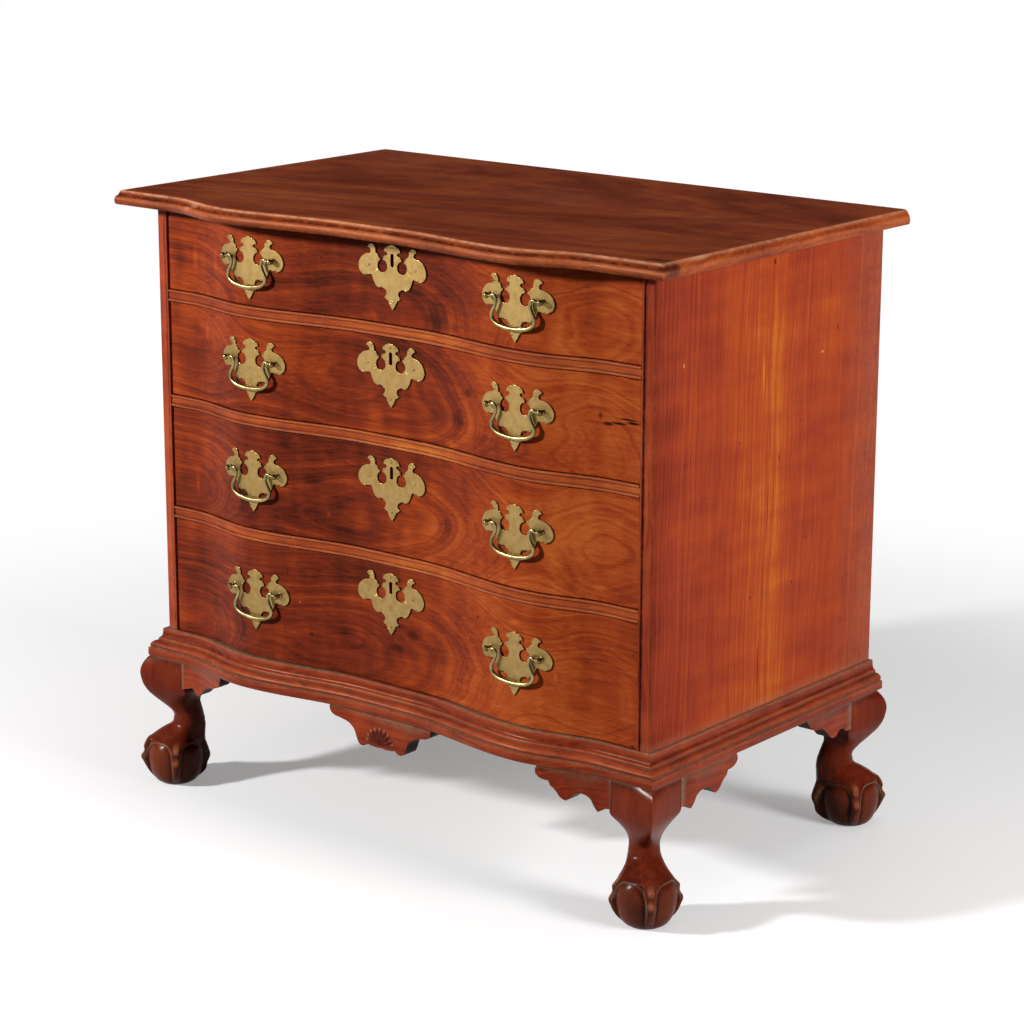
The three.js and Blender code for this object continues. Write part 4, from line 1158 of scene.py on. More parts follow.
@dataclass
class Rails:
    """The three beaded rails between the drawers, with pine runners behind their ends."""

    finishes: Finishes
    floors: tuple[float, ...] = (707.7, 561.5, 403.8)
    thickness: float = 16.5
    depth: float = 75.0
    runner_end: float = 488.7
    runner_sides: tuple[float, float] = (350, 405.7)

    def build(self) -> None:
        """Make the rails and the runners."""
        for number, floor in enumerate(self.floors, 1):
            rail = self.rail(floor)
            node = f"divider_{number}"
            add_piece(f"beaded_rail_{number}", rail, (self.finishes.rail,), "case", (node,))
            near, far = self.runner_sides
            spans = ((-far, -near), (near, far))
            depth, height = (self.depth, self.runner_end), (floor - self.thickness, floor)
            runners = joined(*(box_shell(span, depth, height) for span in spans))
            add_piece(f"runners_{number}", runners, (self.finishes.pine_deep,), "case", (node,), bevel=0.5)

    def rail(self, floor: float) -> Shell:
        """One rail: its section, with a round bead and a quirk along both edges, carried along the front.

        Args:
            floor: height of its upper face.

        Returns:
            The rail.
        """
        low = floor - self.thickness
        # Depth, height, painted shade in the quirks and at the gaps' edges, rubbing with painted highlight on the
        # beads' crests, wax and whether the point follows the front
        knots = [(self.depth, low + 0.3, 0, 0, 0, 0), (0.6, low + 0.2, 0.9, 0, 0, 1)]
        for bead_low, upper in ((low, False), (floor - 4, True)):
            angle = np.linspace(0, np.pi, 9)
            heights = bead_low + 2 - 2 * np.cos(angle)
            out = -BEAD_PROUD * np.sin(angle)
            crest = np.sin(angle) ** 2
            if upper:
                knots += [(0, bead_low - 1.2, 0, 0, 0, 1), (0.7, bead_low - 0.4, 1, 0, 0.5, 1)]
            knots += [
                (depth, height, 0.5 * (1 - top), 0.3 * top, 0, 1) for depth, height, top in zip(out, heights, crest)
            ]
            if not upper:
                knots += [(0.7, bead_low + 4.4, 1, 0, 0.5, 1), (0, bead_low + 5.2, 0, 0, 0, 1)]
        knots += [(0.6, floor - 0.2, 0.9, 0, 0, 1), (self.depth, floor - 0.3, 0, 0, 0, 0)]
        table = np.array(knots)
        section = table[:, [0, 1, 5]]
        marks = {"grime": table[:, 2], "wear": table[:, 3], "wax": table[:, 4]}
        end = OPENING_HALF - GAP
        return front_sweep(section, (-end, end), marks)


@dataclass
class BaseMoulding:
    """Moulding round the foot of the case, mitred at its front corners."""

    finishes: Finishes
    front_reach: float = 24.0
    left_reach: float = 18.0
    right_reach: float = 22.5
    height: float = 38.0
    mitre_gap: float = 0.15
    # Section from the top to the foot as shares: reach and height, with painted shade in the quirks, the cove and at
    # the top and foot with some soiling, rubbing with painted highlight on the rounds, and wax
    knots: Table = (
        (0.0, 0.995, 0.9, 0.0, 0.6), (0.1, 1.0, 0.3, 0.0, 0.9), (0.22, 1.0, 0.0, 0.2, 0.8),
        (0.265, 0.985, 0.0, 0.3, 0.4), (0.275, 0.95, 0.0, 0.2, 0.0), (0.28, 0.87, 0.1, 0.0, 0.0),
        (0.287, 0.82, 0.3, 0.0, 0.0), (0.305, 0.76, 0.5, 0.0, 0.0), (0.335, 0.71, 0.6, 0.0, 0.0),
        (0.375, 0.68, 0.3, 0.0, 0.0), (0.42, 0.665, 0.0, 0.1, 0.0), (0.465, 0.65, 0.0, 0.35, 0.0),
        (0.495, 0.625, 0.0, 0.25, 0.0), (0.505, 0.595, 0.2, 0.0, 0.1), (0.49, 0.572, 0.8, 0.0, 0.8),
        (0.488, 0.556, 0.8, 0.0, 0.8), (0.54, 0.556, 0.1, 0.0, 0.1), (0.64, 0.545, 0.0, 0.0, 0.0),
        (0.74, 0.522, 0.0, 0.1, 0.0), (0.83, 0.482, 0.0, 0.3, 0.0), (0.885, 0.435, 0.0, 0.3, 0.0),
        (0.905, 0.39, 0.0, 0.0, 0.0), (0.892, 0.35, 0.3, 0.0, 0.2), (0.858, 0.328, 0.8, 0.0, 0.9),
        (0.865, 0.31, 0.8, 0.0, 0.8), (0.94, 0.31, 0.0, 0.1, 0.1), (0.985, 0.302, 0.0, 0.4, 0.0),
        (1.0, 0.28, 0.0, 0.2, 0.0), (1.0, 0.16, 0.0, 0.0, 0.0), (1.0, 0.04, 0.2, 0.1, 0.0),
        (0.985, 0.012, 0.5, 0.1, 0.3), (0.95, 0.0, 0.9, 0.0, 0.7), (0.0, 0.0, 1.0, 0.0, 0.0),
    )  # fmt: skip

    def build(self) -> None:
        """Make the three lengths."""
        table = np.array(self.knots)
        marks = {"grime": table[:, 2], "wear": table[:, 3], "wax": table[:, 4]}
        self.front(table, marks)
        for hand, side, reach in (("left", -1, self.left_reach), ("right", 1, self.right_reach)):
            self.side(hand, side, reach, table, marks)

    def front(self, table: Array, marks: dict[str, Array]) -> None:
        """Make the front length: it follows the front, and each line of it ends where it meets the mitre.

        Args:
            table: the section.
            marks: its marks.
        """
        out, heights = table[:, 0] * self.front_reach, LEG_TOP + table[:, 1] * self.height
        follows = np.where(table[:, 0] > 0.05, 1.0, 0.0)
        depth = np.where(follows > 0, -out, -GAP)
        ends = (
            -(CASE_HALF + table[:, 0] * self.left_reach) + self.mitre_gap,
            CASE_HALF + table[:, 0] * self.right_reach - self.mitre_gap,
        )
        strip = front_sweep(np.column_stack([depth, heights, follows]), ends, marks, spacing=4)
        end = OPENING_HALF - GAP
        core = box_shell((-end, end), (-1, 15), (LEG_TOP, BASE_TOP))
        shell = joined(strip, core)
        add_piece("front_moulding", shell, (self.finishes.trim,), "case", ("base_moulding_front",))

    def side(self, hand: str, side: int, reach: float, table: Array, marks: dict[str, Array]) -> None:
        """Make one side length, from the mitre straight to the back.

        Args:
            hand: left or right.
            side: -1 for the left, 1 for the right.
            reach: how far it stands out.
            table: the section.
            marks: its marks.
        """
        x = CASE_HALF + np.maximum(table[:, 0] * reach, GAP)
        z = LEG_TOP + table[:, 1] * self.height
        start = -table[:, 0] * self.front_reach + self.mitre_gap
        share = np.linspace(0, 1, 110)[:, None]
        y = start * (1 - share) + CASE_DEPTH * share
        rings = np.stack([side * x + 0 * y, y, z + 0 * y], axis=-1)
        spread = {name: value + 0 * y for name, value in marks.items()}
        shell = loft(rings, spread)
        node = f"base_moulding_{hand}"
        add_piece(f"{hand}_moulding", shell, (self.finishes.side_trim,), "case", (node,))


@dataclass
class Legs:
    """Four legs with a square knee and a foot of three toes and a heel that grip a ball.

    A leg is made in its own frame, with X outwards along the block's diagonal from its outer corner.
    """

    finishes: Finishes
    rear_corner: float = 490.5
    rear_heel: float = 5.0
    ball_radius: float = 39.7
    ball_rise: float = 40.5
    ball_inset: float = 33.0
    ankle_inset: float = 53.0
    ankle_height: float = 92.0
    window_turn: float = 38.0
    window_height: float = 61.0
    # Ball: height, radius and how far its centre has moved to the ankle's, the first two in radii
    ball: Table = (
        (0.0, 0.58, 0.0), (0.05, 0.67, 0.0), (0.15, 0.77, 0.0), (0.3, 0.86, 0.0), (0.62, 0.96, 0.0),
        (0.96, 1.0, 0.0), (1.24, 0.957, 0.0), (1.48, 0.831, 0.02), (1.63, 0.718, 0.18), (1.78, 0.617, 0.4),
        (1.93, 0.542, 0.65), (2.07, 0.504, 0.86), (2.27, 0.479, 1.0),
    )  # fmt: skip
    front_toe: Table = (
        (0, 19.0), (3, 24), (10, 34.4), (17, 40), (25, 44.5), (31, 47.4), (35, 49.5), (38.5, 49.2), (42, 46.4),
        (47, 44.8), (51, 45.6), (55, 44.4), (60, 42.4), (63.5, 41.4), (66, 38.5), (72, 34.6), (78, 30.2), (84, 25.5),
        (92, 22.0),
    )  # fmt: skip
    side_toe: Table = (
        (0, 19.0), (4, 27.9), (10, 35.5), (18, 41.5), (26, 45), (31, 47), (35, 46.8), (39, 44.4), (43, 42.6),
        (47, 42.6), (50, 42.9), (54, 40), (57, 37.2), (60, 34.6), (66, 30), (72, 25.6), (76, 22.8), (84, 21.2),
        (92, 20.2),
    )  # fmt: skip
    heel_toe: Table = (
        (0, 19.0), (4, 28.4), (12, 39.3), (25, 44.1), (36, 48), (44, 46.5), (50, 44.6), (60, 41.3), (66, 38.1),
        (72, 34.0), (78, 29.6), (84, 25.5), (92, 22.5),
    )  # fmt: skip
    # Leg: share of the height above the foot, outer and inner arris, half width, its place, roundness
    shank: Table = (
        (0, -0.424, -1.035, 0.278, -0.73, 1.8), (0.096, -0.424, -1.01, 0.275, -0.715, 1.7),
        (0.192, -0.31, -0.98, 0.295, -0.66, 1.5), (0.299, -0.139, -0.96, 0.36, -0.62, 1.28),
        (0.406, 0.014, -1.04, 0.475, -0.62, 1.12), (0.512, 0.118, -1.18, 0.61, -0.66, 1.05),
        (0.64, 0.18, -1.25, 0.62, -0.64, 1.04), (0.757, 0.197, -1.25, 0.61, -0.62, 1.02),
        (0.885, 0.136, -1.22, 0.61, -0.61, 1), (1, 0, -1.22, 0.61, -0.61, 1),
    )  # fmt: skip
    columns: int = 176

    def build(self) -> None:
        """Make the four legs where the CAD has them."""
        ends = (("front", LEG_FRONT, -1, 0.0), ("rear", self.rear_corner, 1, self.rear_heel))
        for side, (hand, reach) in zip((-1, 1), LEG_REACH.items()):
            for end, corner_y, way, heel in ends:
                turn = np.arctan2(way, side)
                shell = self.leg(heel)
                cosine, sine = np.cos(turn), np.sin(turn)
                x, y, z = shell.points.T
                corner_x = side * (CASE_HALF + reach)
                points = np.column_stack([corner_x + x * cosine - y * sine, corner_y + x * sine + y * cosine, z])
                leg = Shell(points, shell.faces, shell.marks)
                name, node = f"leg_{end}_{hand}", f"foot_{end}_{hand}"
                add_piece(name, leg, (self.finishes.carved,), "case", (node,), sharp=58)

    def angles(self) -> Array:
        """Angles round the leg, closer near the toes: each quarter's share less 0.09 of the sine of its turn."""
        share = np.arange(self.columns) * 4 / self.columns
        return np.pi / 2 * (share - 0.09 * np.sin(2 * np.pi * share))

    def leg(self, heel: float) -> Shell:
        """One leg.

        The foot's radius at an angle is the ball's, plus skin outside the windows between the toes,
        plus a steep ridge for the nearest toe. Above the ankle a ring is a superellipse, whose
        points lie at the powers of the angle's cosine and sine.

        Args:
            heel: how much thicker the leg is on its inner side.

        Returns:
            The leg in its own frame.
        """
        low = np.concatenate([np.linspace(0, 6, 9), np.arange(7, 92, 0.9)])
        z = np.concatenate([low, np.linspace(92.5, LEG_TOP - GAP, 64)])[:, None]
        angle = self.angles()[None, :]
        foot_x, foot_y, marks = self.foot(z, angle, heel)
        shank_x, shank_y = self.shank_ring(z, angle, heel)
        blend = smooth_step(77, 96, z)
        x = foot_x * (1 - blend) + shank_x * blend
        y = foot_y * (1 - blend) + shank_y * blend
        arris = np.exp(-((np.minimum(angle, 2 * np.pi - angle) / 0.05) ** 2))
        marks["wear"] = marks["wear"] * (1 - blend) + arris * smooth_step(100, 125, z) * 0.9
        # Darker towards the foot, and painted shade in a band right under the moulding
        marks["grime"] = np.clip(marks["grime"] + 0.5 * (1 - smooth_step(58, 128, z)), 0, 1)
        marks["grime"] = marks["grime"] + 0.75 * np.exp(-(((LEG_TOP - z) / 7) ** 2)) * (1 + 0 * angle)
        marks["wax"] = marks["wax"] * (1 - blend) + 0.5 * np.exp(-(((LEG_TOP - z) / 1.6) ** 2))
        return loft(np.stack([x, y, z + 0 * x], axis=-1), {name: mark + 0 * x for name, mark in marks.items()})

    def foot(self, z: Array, angle: Array, heel: float) -> tuple[Array, Array, dict[str, Array]]:
        """Places and marks of the foot's rings.

        A window is where one stays more than two powers together: the fourth of the turn from the
        middle between two toes over the window's half turn, and the fifth of the height over the
        window's. Divided by the length of its own slope, the rest gives the distance to the rim.

        Args:
            z: heights, one a row.
            angle: angles, one a column.
            heel: how much further the heel reaches.

        Returns:
            X and Y by height and angle, and the marks.
        """
        table = np.array(self.ball)
        share = follow(table[:, 0] * self.ball_rise, table[:, 1:], z[:, 0])
        ball = share[:, :1] * self.ball_radius
        centre = -(self.ball_inset + (self.ankle_inset - self.ball_inset) * share[:, 1:])
        quarter = np.round(angle / (np.pi / 2)).astype(int) % 4
        off = angle - np.round(angle / (np.pi / 2)) * (np.pi / 2)
        toes = [np.array(toe, float) for toe in (self.front_toe, self.side_toe, self.heel_toe, self.side_toe)]
        reaches = np.concatenate([follow(toe[:, 0], toe[:, 1], z) for toe in toes], axis=1)
        reaches[:, 2] += heel
        reach = reaches[:, quarter[0]]
        share = np.abs(off) / (np.pi / 4)
        beside = (quarter + np.sign(off).astype(int)) % 4
        between = reach * (1 - share / 2) + reaches[:, beside[0]] * share / 2
        dip = np.interp(z[:, 0], [40, 52, 66, 84, 92], [7, 6, 3.5, 1.2, 0.8])[:, None]
        web = between - dip * np.sin(np.pi / 2 * share) ** 2
        turn = np.degrees(np.pi / 4 - np.abs(off))
        aside, up = np.abs(turn) / self.window_turn, z / self.window_height
        slope_round = 4 * aside**3 / (np.radians(self.window_turn) * ball)
        rim = (1 - aside**4 - up**5) / np.maximum(np.hypot(slope_round, 5 * up**4 / self.window_height), 0.02)
        skin = 1.8 * smooth_step(0.9, -0.9, rim) * smooth_step(0, 12, z)
        upper = smooth_step(55, 67, z)
        base = (ball + skin) * (1 - upper) + np.maximum(web, ball + skin) * upper
        levels, widths = [0, 10, 25, 36, 41, 46, 53, 58, 66], [4.5, 6, 7.2, 7.8, 7.2, 7.6, 8, 8.5, 9.5]
        away = np.abs(off) * (ball + 3) / np.interp(z[:, 0], levels, widths)[:, None]
        ridge = np.clip(1 - away**2.4, 0, 1) ** 0.7
        radius = base + np.maximum(reach - base, 0) * ridge
        knuckle = np.exp(-(((z - 39) / 5) ** 2)) + np.exp(-(((z - 56) / 6) ** 2)) + 0.4 * smooth_step(34, 20, z)
        crest = smooth_step(0.8, 1, ridge) * smooth_step(6, 14, z) * smooth_step(72, 60, z)
        # Painted shade lies in the creases beside the toes and outside the windows' rims
        marks = {
            "wear": 0.8 * crest * knuckle + 0.12 * smooth_step(4, 12, rim),
            "wax": 0.8 * np.exp(-((rim / 0.8) ** 2)) * smooth_step(14, 44, z),
            "grime": 0.45 * np.exp(-(((away - 1.2) / 0.25) ** 2)) * smooth_step(64, 50, z)
            + 0.45 * np.exp(-(((rim - 1.4) / 1.4) ** 2)) * smooth_step(20, 44, z),
        }
        return centre + radius * np.cos(angle), radius * np.sin(angle), marks

    def shank_ring(self, z: Array, angle: Array, heel: float) -> tuple[Array, Array]:
        """Places of the leg's rings above the foot.

        Args:
            z: heights, one a row.
            angle: angles, one a column.
            heel: how much thicker the leg is on its inner side at the ankle, gone by half its height.

        Returns:
            X and Y by height and angle.
        """
        rows = np.array(self.shank, float)
        rise = np.clip((z[:, 0] - self.ankle_height) / (LEG_TOP - GAP - self.ankle_height), 0, 1)
        outer, inner, half_width, widest, roundness = follow(rows[:, 0], rows[:, 1:], rise).T[..., None]
        heel_here = heel / LEG_BLOCK * np.maximum(0, 1 - rise[:, None] / 0.5)
        power = 2 / np.maximum(roundness, 1)
        along, across = np.cos(angle), np.sin(angle)
        reach = np.where(along > 0, outer - widest, widest - inner + heel_here)
        x = widest + np.sign(along) * reach * np.abs(along) ** power
        y = np.sign(across) * half_width * np.abs(across) ** power
        return x * LEG_BLOCK, y * LEG_BLOCK


@dataclass
class KneeBrackets:
    """Six scrolled brackets that run from the legs along the moulding."""

    finishes: Finishes
    drop: float = 46.0
    thickness: float = 22.0
    lap: float = 9.6
    top: float = LEG_TOP - GAP
    front_lengths: tuple[float, float] = (79.0, 97.0)
    # Seam with the leg, direction and length of the brackets along the sides
    side_front: tuple[float, int, float] = (49.8, 1, 112.0)
    side_rear: tuple[float, int, float] = (418.2, -1, 98.0)
    full: Table = (
        (0, 0), (0, 0.84), (0.05, 0.94), (0.1, 1), (0.165, 0.88), (0.22, 0.7), (0.3, 0.61), (0.405, 0.6),
        (0.5, 0.74), (0.575, 0.87), (0.65, 0.8), (0.71, 0.64), (0.79, 0.5), (0.815, 0.37), (0.92, 0.34),
        (0.99, 0.23), (1, 0.12), (0.98, 0),
    )  # fmt: skip
    left: Table = (
        (0, 0), (0, 0.82), (0.14, 0.69), (0.206, 0.8), (0.262, 0.9), (0.385, 0.77), (0.48, 0.62), (0.61, 0.5),
        (0.74, 0.45), (0.91, 0.34), (0.98, 0.17), (1, 0),
    )  # fmt: skip
    rear: Table = (
        (0, 0), (0, 0.84), (0.04, 0.81), (0.1, 0.71), (0.16, 0.7), (0.21, 0.73), (0.27, 0.84), (0.36, 0.85),
        (0.43, 0.76), (0.53, 0.56), (0.62, 0.43), (0.74, 0.4), (0.84, 0.35), (0.95, 0.14), (1, 0),
    )  # fmt: skip

    def build(self) -> None:
        """Make the six brackets."""
        full = (np.array(self.full), (1, 12, 13))
        left = (np.array(self.left), (1, 2))
        rear = (np.array(self.rear), (1,))
        for side, (hand, reach), length, shape in zip(
            (-1, 1), LEG_REACH.items(), self.front_lengths, (left, full)
        ):
            outer = CASE_HALF + reach
            self.front(hand, side, outer - LEG_BLOCK - GAP, length, shape)
            self.side(f"side_front_{hand}", side, outer, *self.side_front, full)
            self.side(f"side_rear_{hand}", side, outer, *self.side_rear, rear)

    def outline(self, shape: Shape, start: float, step: float) -> Array:
        """Outline of a bracket along its run and up.

        Args:
            shape: share of length and of drop, one point a row, and the rows with a corner.
            start: where its seam with the leg is.
            step: its length, negative where it runs the other way.

        Returns:
            Points of the outline.
        """
        line = outline_through(*shape)
        along = start + step * line[:, 0] - np.sign(step) * self.lap * (line[:, 0] <= 0)
        return np.column_stack([along, self.top - self.drop * line[:, 1]])

    def front(self, hand: str, side: int, seam: float, length: float, shape: Shape) -> None:
        """Make a bracket that follows the front.

        Args:
            hand: left or right.
            side: -1 for the left, 1 for the right.
            seam: distance of its seam with the leg from the middle.
            length: its length.
            shape: its outline.
        """
        line = self.outline(shape, side * seam, -side * length)
        flat, faces = flat_fill([line], np.arange(line[:, 0].min(), line[:, 0].max(), 5)[1:])
        shell = thickened(faces, on_front(flat, LEG_FRONT), on_front(flat, self.thickness + LEG_FRONT), wall_tone=1)
        shell.marks.update(self.dirt(shell, np.tile(np.abs(flat[:, 0] - side * (seam + self.lap)), 2)))
        self.add(f"front_{hand}", shell, self.finishes.trim)

    def side(
        self, name: str, side: int, outer: float, seam: float, step: int, length: float, shape: Shape
    ) -> None:
        """Make a flat bracket along a side.

        Args:
            name: end of the node's name.
            side: -1 for the left, 1 for the right.
            outer: distance of its face from the middle.
            seam: depth of its seam with the leg.
            step: 1 where it runs backwards from there, -1 where it runs forwards.
            length: its length.
            shape: its outline.
        """
        line = self.outline(shape, seam, step * length)
        flat, faces = flat_fill([line], np.arange(line[:, 0].min(), line[:, 0].max(), 12)[1:])
        near = np.column_stack([np.full(len(flat), side * outer), flat])
        shell = thickened(faces, near, near - (side * self.thickness, 0, 0), wall_tone=1)
        shell.marks.update(self.dirt(shell, np.tile(np.abs(flat[:, 0] - seam + step * self.lap), 2)))
        self.add(name, shell, self.finishes.side_trim)

    def dirt(self, shell: Shell, from_seam: Array) -> dict[str, Array]:
        """Marks of a bracket: wax along the leg's seam and under the moulding, and painted shade under the moulding.

        Args:
            shell: the bracket.
            from_seam: distance of each point from the seam.

        Returns:
            The marks.
        """
        from_top = self.top - shell.points[:, 2]
        return {
            "wax": np.exp(-((from_seam / 1.4) ** 2)) * 0.7 + np.exp(-((from_top / 1.2) ** 2)) * 0.35,
            "grime": np.exp(-((from_top / 8) ** 2)) * 0.45,
        }

    def add(self, name: str, shell: Shell, finish: Material) -> None:
        """Add one bracket under its node's name."""
        finishes = (finish, self.finishes.cut)
        add_piece(f"bracket_{name}", shell, finishes, "case", (f"knee_bracket_{name}",))


@dataclass
class Pendant:
    """Shaped drop under the middle of the front with a carved fan."""

    finishes: Finishes
    middle: float = -3.0
    half_width: float = 88.0
    drop: float = 46.0
    thickness: float = 24.0
    proud: float = 24.0
    top: float = LEG_TOP - GAP
    shares: Table = (
        (1, 0), (0.98, 0.17), (0.92, 0.27), (0.8, 0.32), (0.65, 0.4), (0.54, 0.57), (0.49, 0.8), (0.44, 0.96),
        (0.38, 1), (0.32, 0.97), (0.28, 0.9), (0.17, 0.94), (0, 0.93),
    )  # fmt: skip
    fan_x: float = -5.0
    fan_z: float = 145.5
    fan_radius: float = 27.0
    lobes: int = 9

    def build(self) -> None:
        """Make the pendant and its fan."""
        right = outline_through(np.array(self.shares), (10,))
        left = right[-2::-1] * (-1, 1)
        line = np.concatenate([right, left]) * (self.half_width, -self.drop) + (self.middle, self.top)
        flat, faces = flat_fill([line], np.arange(line[:, 0].min(), line[:, 0].max(), 5)[1:])
        near, far = (on_front(flat, depth) for depth in (-self.proud, self.thickness - self.proud))
        shell = thickened(faces, near, far, wall_tone=1)
        from_top = self.top - shell.points[:, 2]
        shell.marks["wax"] = np.exp(-((from_top / 1.2) ** 2)) * 0.6
        # Darker towards its foot
        shell.marks["grime"] = 0.35 * smooth_step(26, 44, from_top)
        finishes = (self.finishes.trim, self.finishes.cut)
        add_piece("pendant", shell, finishes, "case", ("shell_pendant",))
        add_piece("carved_fan", self.fan(), (self.finishes.carved,), "case", sharp=50)

    def fan(self) -> Shell:
        """Carved fan of round lobes that spring from the pendant's foot.

        A point lies at a radius and an angle about the spring. A lobe rises by the root of the sine
        across it and with the radius, and its end is rounded by that same sine.

        Returns:
            The fan.
        """
        out = np.linspace(0.05, 1, 30)[:, None]
        share = np.linspace(0, 1, self.lobes * 12 + 1)[None, :]
        across = np.abs(np.sin(np.pi * self.lobes * share))
        angle = np.radians(176 - 172 * share)
        reach = self.fan_radius * (0.86 + 0.14 * across**0.6) * (0.93 + 0.07 * np.sin(np.pi * share))
        x = self.fan_x + out * reach * np.cos(angle)
        z = self.fan_z + out * reach * np.sin(angle) * 0.94
        round_end = np.sqrt(np.clip(1 - out**6, 0, 1))
        height = (0.2 + 1.5 * across**0.7 * out**0.7) * round_end
        face = FRONT.depth(x) - self.proud
        near = np.stack([x, face - height, z + 0 * x], axis=-1)
        far = np.stack([x, face + 2, z + 0 * x], axis=-1)
        # Painted shade in the hollows between the lobes and round the rim, over an even darkening of the carving
        marks = {
            "grime": 0.9 * (1 - across) ** 1.5 + 0.35 + 0.5 * (out > 0.97) + 0 * x,
            "wear": 0.75 * across**2 * smooth_step(0.75, 0.93, out),
        }
        return slab(near, far, marks)


@dataclass
class Brasses:
    """Pattern of the pierced plates, which pulls and escutcheons share, and of what they carry."""

    finishes: Finishes
    thickness: float = 1.8
    # Depth of a plate's back behind the front's line
    seat: float = 0.7
    # Open ring beside each post: its middle and its radius
    eye: tuple[float, float, float] = (16.6, 13.6, 8.2)
    post_spread: float = 42.0
    post_rise: float = 13.0
    # Keyhole: half its width, and where its round ends have their middles above the plate's
    slot: tuple[float, float, float] = (2.7, 16.4, 28.1)
    pin_places: tuple[tuple[float, float], ...] = ((0, 36.4), (-39.3, 13), (39.3, 13), (0, -30.8))
    # Right half of the outline from its top point to its foot, in smooth runs
    runs: tuple[Table, ...] = (
        ((0, 42), (3.4, 41.7), (5.7, 40.1)),
        ((5.7, 40.1), (8.8, 39.6), (11.9, 37.5), (13.3, 34.8), (13.5, 32.2)),
        ((13.5, 32.2), (10.6, 32.7), (8.3, 30.7), (9, 28.5), (11.5, 28)),
        ((11.5, 28), (13.8, 26.9), (15.3, 24.6), (15.9, 21.77)),
        ((20.07, 21.03), (20.7, 23.2), (22.8, 24.3)),
        ((22.8, 24.3), (23.7, 27), (26.3, 28.5)),
        ((26.3, 28.5), (28.1, 31), (28.5, 35.4), (30.8, 39), (34.6, 40.4), (38.6, 39.4), (41.5, 35.9)),
        ((41.5, 35.9), (38.4, 34.6), (36.4, 32), (37, 29.2), (40.4, 27.6)),
        (
            (40.4, 27.6), (47, 25.8), (52.8, 21.4), (56.4, 15.2), (57, 9), (54.4, 2.8), (49.5, -0.6), (44, -1),
            (39, 0.6), (34.3, 0.4),
        ),
        ((34.3, 0.4), (32.5, -5), (30, -10), (26.4, -13.8), (21.5, -15), (17, -13.6)),
        ((17, -13.6), (14.6, -16.2), (11.2, -17.2), (9.9, -20.4), (11.2, -23.6), (14.2, -25.6)),
        ((14.2, -25.6), (11.4, -28), (7.6, -29.6)),
        ((7.6, -29.6), (6.4, -33), (0, -42)),
    )  # fmt: skip
    bail_route: Table = (
        (1.02, 0.01), (0.94, 0.05), (0.84, 0.02), (0.785, -0.13), (0.86, -0.34), (0.985, -0.55), (0.95, -0.75),
        (0.73, -0.9), (0.38, -0.975), (0, -1),
    )  # fmt: skip
    bail_half: float = 34.0
    bail_drop: float = 37.5
    # Ends of a bail: how far out they go into the posts, and where the pins' bend begins
    bail_end: float = 43.1
    bail_bend: float = 38.0
    # Radius of a bail: at its pins, at its neck and how much more in its middle
    bail_radii: tuple[float, float, float] = (1.6, 2.2, 1.25)

    def outline(self) -> Array:
        """Whole outline of a plate about its middle, in X and Z: the right half and its mirror image.

        Returns:
            Points of the closed outline.
        """
        smooth = [spline(np.array(run), 5) for run in self.runs]
        angle = np.radians(np.linspace(95, 425, 40))
        x, z, radius = self.eye
        smooth.insert(4, np.column_stack([x + radius * np.cos(angle), z + radius * np.sin(angle)]))
        right = np.concatenate([smooth[0], *(run[1:] for run in smooth[1:])])
        left = right[-2:0:-1] * (-1, 1)
        return np.concatenate([right, left])

    def keyhole(self, grown: float = 0) -> Array:
        """Keyhole about the plate's middle: an upright slot with round ends.

        Args:
            grown: how much larger than its own size.

        Returns:
            Points of the closed outline.
        """
        half, low, high = self.slot[0] + grown, *self.slot[1:]
        angle = np.linspace(0, np.pi, 13)
        top = np.column_stack([half * np.cos(angle), high + half * np.sin(angle)])
        foot = np.column_stack([-half * np.cos(angle), low - half * np.sin(angle)])
        return np.concatenate([top, foot])

    def plate(self, x: float, z: float, pierced: bool) -> Shell:
        """Plate bent to the front.

        Args:
            x: its middle across.
            z: its middle in height.
            pierced: whether it has a keyhole.

        Returns:
            The plate.
        """
        loops = [self.outline() + (x, z)] + ([self.keyhole() + (x, z)] if pierced else [])
        flat, faces = flat_fill(loops, np.arange(x - 54, x + 55, 6))
        return thickened(faces, on_front(flat, self.seat - self.thickness), on_front(flat, self.seat), wall_tone=1)

    def face(self, x: float) -> float:
        """Depth of a plate's face at x."""
        return float(FRONT.depth(np.array(x))) + self.seat - self.thickness

    def pins(self, x: float, z: float) -> Shell:
        """Round heads of the pins that hold an escutcheon.

        Args:
            x: the escutcheon's middle across.
            z: its middle in height.

        Returns:
            The heads.
        """
        turn = np.linspace(0, np.pi / 2, 5)
        profile = np.column_stack([np.maximum(1.7 * np.cos(turn), 0.03), -0.9 * np.sin(turn)])
        profile = np.concatenate([[(1.7, 0.6)], profile])
        head = turned(profile, 14)
        return joined(*(head.moved(x + dx, self.face(x + dx), z + dz) for dx, dz in self.pin_places))

    def post(self, x: float, z: float, axis: float) -> Shell:
        """Turned post with a collar at the plate, a waist and a ball bored for the bail.

        Args:
            x: its middle across.
            z: its height.
            axis: depth of the bail's axis.

        Returns:
            The post.
        """
        plate = self.face(x)
        ball = 4.1
        waist = plate - axis - ball * 0.8
        foot = np.array([(3.9, -1), (4.0, 0), (3.8, 0.6), (3.0, 1.0), (2.6, 1.7), (2.6, max(waist - 0.6, 2.4))])
        turn = np.linspace(-0.85, 0.9, 12)
        head = np.column_stack([ball * np.cos(turn), plate - axis + ball * np.sin(turn)])
        end = plate - axis + ball * np.sin(0.9)
        button = np.array([(1.9, end + 0.05), (1.8, end + 0.4), (1.2, end + 0.65), (0.03, end + 0.75)])
        profile = np.concatenate([foot, head, button])
        profile[:, 1] = plate - profile[:, 1]
        return turned(profile, 28).moved(x, 0, z)

